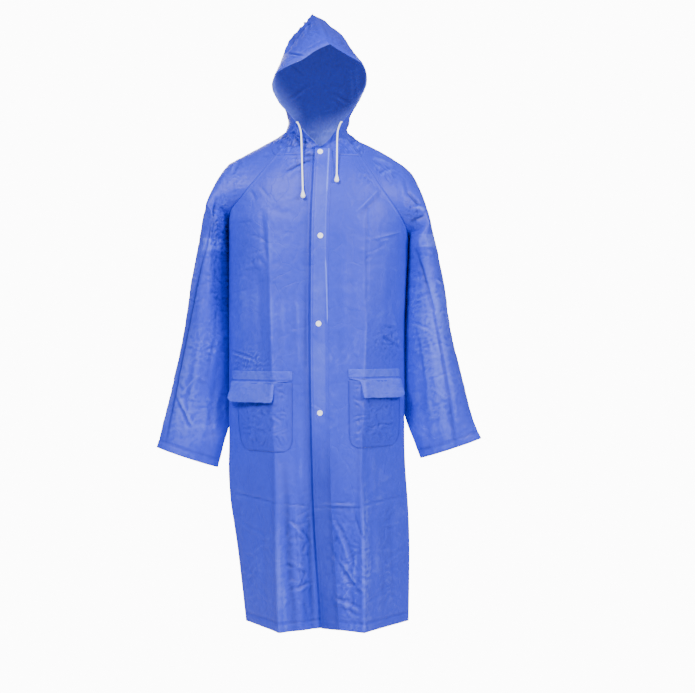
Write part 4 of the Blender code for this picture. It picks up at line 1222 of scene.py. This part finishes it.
sleeves, sleeve_columns_at = {}, {}
for side, word in SIDES:
    coarse = np.array(sleeve_rows(side))
    top_line = SLEEVE_COLUMNS // 2
    lower = even_places(coarse[:SLEEVE_ROWS + 1, top_line], STEP)
    row_at = np.concatenate((lower[:-1], body_rows_at[underarm:] - UNDERARM + SLEEVE_ROWS))
    column_at = even_places(coarse[SLEEVE_ROWS // 2], STEP)
    column_at[np.searchsorted(column_at, top_line)] = top_line
    sleeve_columns_at[side] = column_at
    grid = fine_grid(coarse, row_at, column_at, (top_line,))
    join = len(lower) - 1
    reach = along_rows(grid)
    reach_back = reach[:, -1:] - reach
    first, last = np.zeros((2, len(grid), 3))
    first[join:] = fronts[side][underarm:, 0] - grid[join:, 0]
    last[join:] = backs[side][underarm:, 0] - grid[join:, -1]
    for gap, away in ((first, reach), (last, reach_back)):
        grid = grid + gap[:, None] * np.exp(-(away / SLEEVE_SEAM_REACH) ** 2)[..., None]
    from_seam = np.minimum(reach, reach_back)
    below_arm = RAGLAN[side](0).front_z - grid[..., 2]
    beside = ease(below_arm, *TUCK_DOWN) * (1 - ease(-grid[..., 2], *TUCK_END))
    close = np.exp(-(from_seam / TUCK_REACH) ** 2)[..., None]
    grid = grid + close * beside[..., None] * TUCK * (side, 1, 1)
    x, z, up = grid[..., 0], grid[..., 2], up_columns(grid)
    front_share = 1 - ease(column_at, top_line - 0.6, top_line + 0.6)[None]
    rise = (front_share * folds(SLEEVE_FOLDS[side], x, z)
            + (1 - front_share) * folds(SLEEVE_BACK_FOLDS[side], x, z)
            + crumples(SLEEVE_CRUMPLES[side], x, z) + crinkles(SLEEVE_CRINKLES, x, z))
    rise *= ease(from_seam, 2, 22) * ease(from_top(grid), 2, 18)
    rise += turned_edge(up, CUFF_FOLD)
    rise[:, 0] = rise[:, -1] = 0
    low, high, inner = SLEEVE_BANDS[side]
    band = (BAND_TONE * ease(z, low, low + 5) * ease(-z, -high, -high + 5)
            * ease(x, inner, inner + 4))
    # The sleeve's tone: painted crease shade and highlight, the paler double band, the deeper cuff
    # weld, and the listed painted light and shade, kept off the band.
    tone = (crease_shade_and_whitening(rise) + band - WELD_TONE * weld_line(up, CUFF_FOLD)
            + front_share * folds(SLEEVE_PAINTED_LIGHT_AND_SHADE[side], x, z) * (1 - 5 * band))
    sleeves[side] = grid + leans(grid, side) * rise[..., None]
    piece = film_sheet(f"sleeve_{word}_film", sleeves[side], side, tone)
    dress(piece, f"sleeve_{word}", *SLEEVE_CUTS[side], "draped",
          ("back_panel", f"front_panel_{word}"))

# ---- Hood ------------------------------------------------------------------------------------
# Two halves of the film, joined on a seam over the head. The face edge is turned back over
# the drawcord as its casing. The hood is full and stands in a soft, crumpled peak.

# Shares of a hood row's way from the face edge (0) to the seam over the head (1).
NECK_FRONT_SHARE = 0.28      # where the front's neck seam ends
NECK_BACK_SHARE = 0.78       # where the back's begins
HOOD_SIDE_SHARE = 0.46       # where the hood is widest
HOOD_ROWS = 13
# How far the curves between those places run straight on, as shares of x, y and z.
RIM_HANDLE = (0.5, 0.12, 0.3)
EAR_HANDLE = (0.0, 0.5, 0.25)
EAR_HANDLE_BACK = (0.0, 0.55, 0.3)
BACK_HANDLE = (0.55, 0.0, 0.2)
HOOD = {
    RIGHT: Table(
        "row rim_x rim_y rim_z side_x side_y side_z back_y back_z",
        (1, 9, -103, 1, 88, 5, 37, 95, 35),
        (2, 25.7, -104, 18, 78, 5, 46, 102, 50),
        (3, 43.6, -101, 38.7, 75, 5, 60, 110, 68),
        (4, 58, -97, 55, 77, 5, 76, 118, 86),
        (5, 73, -90, 74, 82, 3, 94, 126, 106),
        (6, 91, -82, 93, 93, 0, 116, 132, 128),
        (7, 109, -75, 130, 104, 0, 143, 135, 152),
        (8, 102, -80, 158.6, 103, 0, 172, 134, 178),
        (9, 84, -92, 171, 93, 0, 200, 128, 204),
        (10, 62, -108, 179, 82, 2, 228, 117, 230),
        (11, 39, -120, 187, 66, 5, 258, 100, 258),
        (12, 9, -131, 205, 38, 8, 289, 70, 290),
        (13, -20.4, -136, 217.5, 6, -10, 302, 25, 318),
    ),
    LEFT: Table(
        "row rim_x rim_y rim_z side_x side_y side_z back_y back_z",
        (1, 6, -106, -2, 76, 5, 30, 95, 35),
        (2, 23.5, -104, 16, 62, 5, 43, 102, 50),
        (3, 39, -101, 38.7, 65, 5, 57, 110, 68),
        (4, 54, -96, 57, 68, 5, 74, 118, 86),
        (5, 70.7, -88, 78.7, 77, 3, 92, 126, 106),
        (6, 88.8, -80, 106.8, 91, 0, 115, 132, 128),
        (7, 102.5, -75, 134.7, 102, 0, 143, 135, 152),
        (8, 103.5, -78, 159, 104, 0, 171, 134, 178),
        (9, 93, -90, 181.5, 98, 0, 194, 128, 204),
        (10, 80, -100, 189, 85, 2, 214, 117, 230),
        (11, 65.8, -110, 194.6, 68, 5, 240, 100, 258),
        (12, 42, -125, 206, 46, 8, 270, 70, 290),
        (13, 20.4, -136, 217.5, -6, -10, 302, 25, 318),
    ),
}


def hood_row(side, row, shares):
    """One hood row at the given shares of its way from the face edge to the back."""
    cut = HOOD[side](row)
    rim = np.array((side * cut.rim_x, cut.rim_y, cut.rim_z))
    ear = np.array((side * cut.side_x, cut.side_y, cut.side_z))
    back = np.array((side * cut.side_x if row == HOOD_ROWS else 0, cut.back_y, cut.back_z))
    way, turn = ear - rim, back - ear
    points = []
    for share in shares:
        if share <= HOOD_SIDE_SHARE:
            points.append(bezier(rim, rim + way * RIM_HANDLE, ear - way * EAR_HANDLE,
                                 ear, share / HOOD_SIDE_SHARE))
        else:
            points.append(bezier(ear, ear + turn * EAR_HANDLE_BACK, back - turn * BACK_HANDLE,
                                 back, (share - HOOD_SIDE_SHARE) / (1 - HOOD_SIDE_SHARE)))
    return points


def hood_shares(extra):
    """Shares of the coarse columns. The right half has extra ones on the underlap."""
    return np.concatenate((
        np.zeros(extra),
        np.linspace(0, NECK_FRONT_SHARE, FRONT_COLUMNS, endpoint=False),
        np.linspace(NECK_FRONT_SHARE, NECK_BACK_SHARE, SLEEVE_COLUMNS, endpoint=False),
        np.linspace(NECK_BACK_SHARE, 1, FRONT_COLUMNS + 1),
    ))


HOOD_CUTS = {RIGHT: ((0.377, 0.371), 0.092), LEFT: ((0.367, 0.380), 0.09)}
HOOD_NECK_REACH = 30         # mm over which the hood is drawn to the neck seam
CASING = 20.0                # mm of the face edge turned back over the drawcord
HOOD_FOLDS = (
    (-25.8, 293.6, -32.5, 248.8, -2.2, 5, 0, PAIR),
    (-14.6, 298.1, -1.1, 244.3, 2.0, 5, 0, PAIR),
    (-26, 293, -44, 268, -4.6, 4, 0, PAIR),
    (-40, 280, -58, 250, -4.6, 4, 1, PAIR),
    (-52, 262, -72, 236, -4.2, 4, 0, PAIR),
    (-61.7, 248.8, -81.9, 212.9, -3.6, 4, 0, PAIR),
    (-20, 268, -40, 226, 2.0, 5, 2, SHARP),
    (-8, 282, 14, 236, -2.2, 4, 0, SHARP),
    (-74, 212, -42, 194, -4.0, 3, 0, SHARP),
    (-66, 204, -36, 192, -3.2, 3, 1, PAIR),
    (10.1, 257.8, 21.3, 221.9, 2.0, 5, 0, PAIR),
    (30.3, 275.7, 66.2, 217.4, 2.2, 7, 2, PAIR),
    (43.7, 280.2, 79.6, 208.4, -2.0, 7, 0, SOFT),
    (-95.3, 78.4, -50.5, 15.6, -2.6, 6, 2, PAIR),
    (-81.9, 60.4, -32.5, -11.3, 2.6, 6, 2, PAIR),
    (-99.8, 24.5, -46, 11.1, -3.0, 5, 0, PAIR),
    (-95.3, 6.6, -19.1, -9.1, -3.2, 5, 0, SHARP),
    (-77.4, 29, -14.6, 6.6, 2.8, 6, 0, SOFT),
    (-46, 38, -10.1, -11.3, -2.6, 5, 0, PAIR),
    (54.9, 24.5, 93.1, -29.3, -2.0, 6, 0, PAIR),
    (39.2, 15.6, 70.6, -11.3, 1.8, 6, 0, PAIR),
    (66.2, 73.9, 84.1, 24.5, -2.2, 6, 0, PAIR),
    (79.6, 91.8, 97.5, 38, 2.0, 6, 0, SOFT),
)
HOOD_CRUMPLES = (
    (-19.1, 275.7, 32, 37, 3.6, 15, 201),
    (-54.9, 15.6, 41, 32, 7.0, 10, 211),
    (-54.9, 15.6, 41, 32, -5.0, 14, 212),
    (77.4, -2.4, 32, 37, 4.6, 11, 223),
    (-40, 235, 46, 34, 1.8, 16, 231),
    (50, 235, 40, 40, 1.8, 18, 233),
    (-88, 150, 30, 60, 3.0, 18, 235),
    (-102, 109.7, 28, 69, 1.8, 16, 227),
    (93.1, 123.2, 28, 69, 1.6, 16, 229),
)
HOOD_BACK_FOLDS = (
    (-70, 60, -20, 150, -3.0, 10, 8, SOFT),
    (64, 70, 22, 160, -2.6, 10, -8, SOFT),
    (-60, 180, -10, 260, 3.0, 12, 6, SOFT),
    (58, 170, 12, 250, 2.8, 12, -6, SOFT),
    (-80, 120, -30, 170, -3.0, 6, 0, PAIR),
    (82, 110, 30, 150, 2.6, 6, 0, PAIR),
    (-40, 40, 40, 46, -3.0, 7, 4, SOFT),
)
# Painted light and shade on the hood, in the folds' layout: painted shade in its creases and at the
# crumpled collar, painted highlight in stripes on its left side.
HOOD_PAINTED_LIGHT_AND_SHADE = (
    (-96, 30, -18, -4, -0.22, 14, 0, SOFT),
    (-74, 212, -42, 194, -0.3, 3, 0, SOFT),
    (-26, 293, -44, 268, -0.2, 3, 0, SOFT),
    (-40, 280, -58, 250, -0.24, 3, 1, SOFT),
    (-52, 262, -72, 236, -0.24, 3, 0, SOFT),
    (0, 300, 20, 234, -0.14, 2.6, -2, SOFT),
    (84, 215, 96, 60, 0.16, 5, 0, SOFT),
    (72, 200, 80, 80, 0.12, 4, 0, SOFT),
    (62, 190, 66, 90, -0.1, 5, 0, SOFT),
    (96, 190, 104, 90, -0.1, 4, 0, SOFT),
)


def knob(grid):
    """Rounds the points near the peak into the small crumpled knob that the film makes there."""
    x, y, z = grid[..., 0], grid[..., 1], grid[..., 2]
    near = ease(z, 288, 310)
    shift = np.stack((-8 + 1.1 * (x + 2) + 4 * bumps(y + z, z, 9, 251),
                      5 * bumps(x, z, 8, 253), 2.5 + 4 * bumps(x, y, 9, 257)), axis=-1)
    return grid + near[..., None] * shift


for side, word in SIDES:
    front_row, edge_at, extra = body_rows(FRONT, side)[-1], front_columns_at[side], 0
    if side == RIGHT:
        front_row, extra = underlap_row(front_row)[:-1], 2
        edge_at = np.concatenate((edge_at, neck_lap_at))
    neck = front_row[::-1] + sleeve_rows(side)[-1][1:] + body_rows(BACK, side)[-1][1:]
    shares = hood_shares(extra)
    coarse = np.array([neck] + [hood_row(side, row, shares) for row in range(1, HOOD_ROWS + 1)])
    start = FRONT_COLUMNS + extra
    column_at = np.concatenate((start - edge_at[::-1], start + sleeve_columns_at[side][1:],
                                start + SLEEVE_COLUMNS + back_columns_at[side][1:]))
    neck_line = np.concatenate((fronts[side][-1, len(edge_at) - 1::-1], sleeves[side][-1, 1:],
                                backs[side][-1, 1:]))
    row_at = even_places(coarse[:, coarse.shape[1] // 2], STEP)
    grid = fine_grid(coarse, row_at, column_at)
    up = up_columns(grid)
    grid = grid + (neck_line - grid[0])[None] * np.exp(-(up / HOOD_NECK_REACH) ** 2)[..., None]
    share = np.interp(column_at, np.arange(coarse.shape[1]), shares)[None, :]
    x, z, reach = grid[..., 0], grid[..., 2], along_rows(grid)
    front_share = 1 - ease(share, 0.36, 0.56)
    rise = (front_share * (folds(HOOD_FOLDS, x, z) + crumples(HOOD_CRUMPLES, x, z))
            + (1 - front_share) * (folds(HOOD_BACK_FOLDS, x, z) + 1.4 * crinkle(x, z, 26, 241)))
    rise *= (1 - ease(row_at, HOOD_ROWS - 0.6, HOOD_ROWS)[:, None]) * (1 - ease(share, 0.93, 1))
    rise *= 0.3 + 0.7 * ease(reach, 6, 26)
    casing = 1.1 * np.exp(-((reach - 9) / 6) ** 2) - 0.8 * np.exp(-((reach - CASING) / 2.6) ** 2)
    rise = (rise + casing * ease(up, 25, 70)) * ease(up, 2, 14)
    # The hood's tone: painted crease shade and highlight and the listed painted light and shade; it
    # is also darker towards the top and at the crumpled peak, and a little paler near the face
    # edge.
    tone = (crease_shade_and_whitening(rise, 0.2, 0.08) + folds(HOOD_PAINTED_LIGHT_AND_SHADE, x, z) - 0.07 * ease(z, 190, 220)
            - 0.16 * ease(z, 286, 302) * (1 + bumps(x, z, 9, 259))
            + 0.05 * (1 - ease(share, 0.1, 0.4)) * ease(z, 60, 90))
    piece = film_sheet(f"hood_panel_{word}_film", knob(grid + leans(grid, side) * rise[..., None]),
                       side, tone)
    dress(piece, f"hood_panel_{word}", *HOOD_CUTS[side], "draped", ("back_panel",))

# ---- Placket, pockets and flaps --------------------------------------------------------------
# Strips and patches of the same film, laid on the fronts and welded round their edges. Two
# layers of film look a little paler than one.

PLACKET_WIDTH = 39.0
FLAP_FILM = 0.7              # mm, for the flaps, which are folded double
PLACKET_ROWS, PLACKET_COLUMNS = 420, 24
POCKET_ROWS, FLAP_ROWS, PATCH_COLUMNS = 62, 40, 52
PLACKET_CUT = ((0.039, 1.08), 0.042)
POCKET_CUTS = {RIGHT: ((0.128, 0.153), 0.0195), LEFT: ((0.120, 0.150), 0.018)}
FLAP_CUTS = {RIGHT: ((0.134, 0.070), 0.0085), LEFT: ((0.119, 0.064), 0.0073)}
# Outlines of the pockets and flaps: height, outer and inner end, and a flap's lifts there.
POCKET = {
    RIGHT: ((-533, 190, 62), (-560, 188, 62), (-620, 186, 62), (-660, 181, 62.5),
            (-678, 174, 68), (-686, 160, 80)),
    LEFT: ((-527, 182, 62), (-560, 181, 62.5), (-620, 180, 63), (-650, 178, 64),
           (-668, 172, 68), (-677, 160, 82)),
}
POCKET_SHADE = {RIGHT: -583, LEFT: -571}     # height of the painted shadow line that each flap casts on its pocket
FLAP = {
    RIGHT: ((-507, 200, 62, 0.5, 0.5), (-528, 201, 62, 0.6, 0.6), (-533, 200, 100, 3.2, 4),
            (-545, 196, 103, 5.5, 10), (-568, 195, 103, 9, 19), (-577, 187, 104, 10.5, 20)),
    LEFT: ((-502, 178, 61, 0.5, 0.5), (-522, 180, 61, 0.6, 0.6), (-528, 180, 88, 3.2, 4),
           (-542, 180, 92, 5.5, 8), (-558, 179, 93, 8.5, 14), (-566, 172, 94, 10, 15)),
}


def on_front(side, height, xs):
    """Places and unit normals on a front's surface at one height, at these values of x."""
    grid, out = fronts[side], front_leans[side]
    rows = np.arange(len(grid))
    points = []
    for c in range(len(front_columns_at[side])):
        at = np.interp(height, grid[:, c, 2], rows)
        low = min(int(at), len(grid) - 2)
        share = at - low
        points.append([*(grid[low, c] * (1 - share) + grid[low + 1, c] * share),
                       *(out[low, c] * (1 - share) + out[low + 1, c] * share)])
    points = np.array(sorted(points))
    found = np.stack([np.interp(xs, points[:, 0], points[:, k]) for k in range(6)], axis=-1)
    places, normals = found[..., :3], found[..., 3:]
    return places, normals / np.linalg.norm(normals, axis=-1, keepdims=True)


def laid_grid(side, heights, starts, ends, lift):
    """A grid on a front between two edges at each height, stood off by its lift in mm."""
    grid = []
    for height, start, end, row_lift in zip(heights, starts, ends, lift):
        places, normals = on_front(side, height, np.linspace(start, end, len(row_lift)))
        grid.append(places + normals * row_lift[:, None])
    return np.array(grid)


patch_across = np.linspace(0, 1, PATCH_COLUMNS)[None, :]


def patch_outline(side, columns, cuts, count):
    """A patch's heights, its outer and inner ends there, and x and z all over it."""
    cut = Table(columns, *cuts)
    heights = np.linspace(cut.rows[0, 0], cut.rows[-1, 0], count)
    rows = [cut(height) for height in heights]
    outer = np.array([side * row.outer for row in rows])
    inner = np.array([side * row.inner for row in rows])
    xs = outer[:, None] + (inner - outer)[:, None] * patch_across
    return rows, heights, outer, inner, xs, heights[:, None] + 0 * xs


# The placket stands off its free edge and is welded down along its other side. That weld has a
# painted gleam in two stretches, and the skirt's part of the strip is painted in shade.
placket_heights = np.linspace(HEM_Z, NECK_Z_CENTRE - 0.5, PLACKET_ROWS)
placket_edges = np.array([FRONT_EDGE(h).x for h in placket_heights])
across = np.linspace(0, PLACKET_WIDTH, PLACKET_COLUMNS)[None, :]
placket_z = placket_heights[:, None]
placket_lift = (2.4 - 1.7 * ease(across, 18, 38) - 0.6 * np.exp(-((across - 4) / 2) ** 2)
                + 0 * placket_z)
weld_gleam = (np.exp(-((across - 31 - 6 * ease(-placket_z, 200, 400)) / 1.2) ** 2)
              * (0.1 + 0.3 * ease(placket_z, -112, -100) + 0.3 * ease(-placket_z, 250, 275))
              * ease(placket_z, -405, -385))
placket_grid = laid_grid(LEFT, placket_heights, placket_edges + 0.2,
                         placket_edges + PLACKET_WIDTH, placket_lift)
placket = film_sheet("front_placket_film", placket_grid, 1,
                     crease_shade_and_whitening(placket_lift) + 0.06 - 0.05 * ease(across, 30, 34)
                     + weld_gleam - 0.34 * ease(-placket_z, 560, 800))
dress(placket, "front_placket", *PLACKET_CUT, "laid", ("front_panel_left",))

for side, word in SIDES:
    _, heights, outer, inner, xs, zs = patch_outline(side, "z outer inner", POCKET[side],
                                                     POCKET_ROWS)
    from_foot = np.linspace(0, 1, POCKET_ROWS)[:, None]
    rim = np.minimum(np.minimum(patch_across, 1 - patch_across) * 125, from_foot * 150)
    lift = (0.9 + 3.2 * ease(rim, 0, 40) + 0.5 * (1 - ease(rim, 6, 9))
            + ease(rim, 4, 24) * (2.2 * (crinkle(xs, zs, 17, 301 + side) + 0.2)
                                  + 1.2 * bumps(xs, zs, 46, 311 + side)))
    # Painted shadow under the flap's lower edge, from the flap's inner end outwards.
    shade = np.exp(-((zs - POCKET_SHADE[side]) / 6) ** 2) * ease(np.abs(xs), 88, 104)
    tone = crease_shade_and_whitening(lift) - 0.04 - 0.14 * (1 - ease(rim, 3, 6)) - 0.2 * shade
    grid = laid_grid(side, heights, outer, inner, np.maximum(lift, 0.7))
    pocket = film_sheet(f"pocket_{word}_film", grid, -side, tone)
    dress(pocket, f"pocket_{word}", *POCKET_CUTS[side], "laid", (f"front_panel_{word}",))

    rows, heights, outer, inner, xs, zs = patch_outline(
        side, "z outer inner inner_lift outer_lift", FLAP[side], FLAP_ROWS)
    from_edge = np.linspace(0, 1, FLAP_ROWS)[:, None]
    off = np.array([[row.outer_lift, row.inner_lift] for row in rows])
    lift = (off[:, :1] + (off[:, 1:] - off[:, :1]) * patch_across + 1.0
            + 0.9 * (crinkle(xs, zs, 21, 331 + side) * 0.6 + 0.3)
            - 1.2 * np.exp(-((from_edge - 0.7) / 0.03) ** 2))
    grid = laid_grid(side, heights, outer, inner, lift)
    # The flap is paler, partly as double film and partly as painted light where it faces up.
    flap = film_sheet(f"pocket_flap_{word}_film", grid, -side, crease_shade_and_whitening(lift) + 0.09,
                      FLAP_FILM)
    dress(flap, f"pocket_flap_{word}", *FLAP_CUTS[side], "hung", (f"front_panel_{word}",))

# ---- Snaps -----------------------------------------------------------------------------------
# White moulded caps of 12.4 mm with a raised rim and a shallow dish, pressed through the
# placket. Their sockets are hidden on the front below.

SNAPS = {"snap_collar": (-0.7, -17.7), "snap_chest": (-0.4, -206.8),
         "snap_waist": (-4.2, -401.3), "snap_hip": (-1.3, -599.2)}
CAP_PROFILE = ((0.0, -0.6), (5.6, -0.6), (6.2, 0.0), (6.2, 1.1), (5.9, 1.7), (5.3, 2.0), (4.7, 2.0),
               (4.2, 1.75), (3.2, 1.45), (1.7, 1.4), (1.5, 1.75), (1.1, 1.95), (0.0, 2.0))
CAP_SIDES = 40
CAP_LIFT = 1.6               # mm from the front to the cap's seat on the placket

for snap_name, (snap_x, snap_z) in SNAPS.items():
    seat, lean = on_front(LEFT, snap_z, snap_x)
    cap = turned(snap_name + "_cap", CAP_PROFILE, seat + lean * CAP_LIFT, lean, CAP_SIDES,
                 moulded)
    stand_for(cap, snap_name)
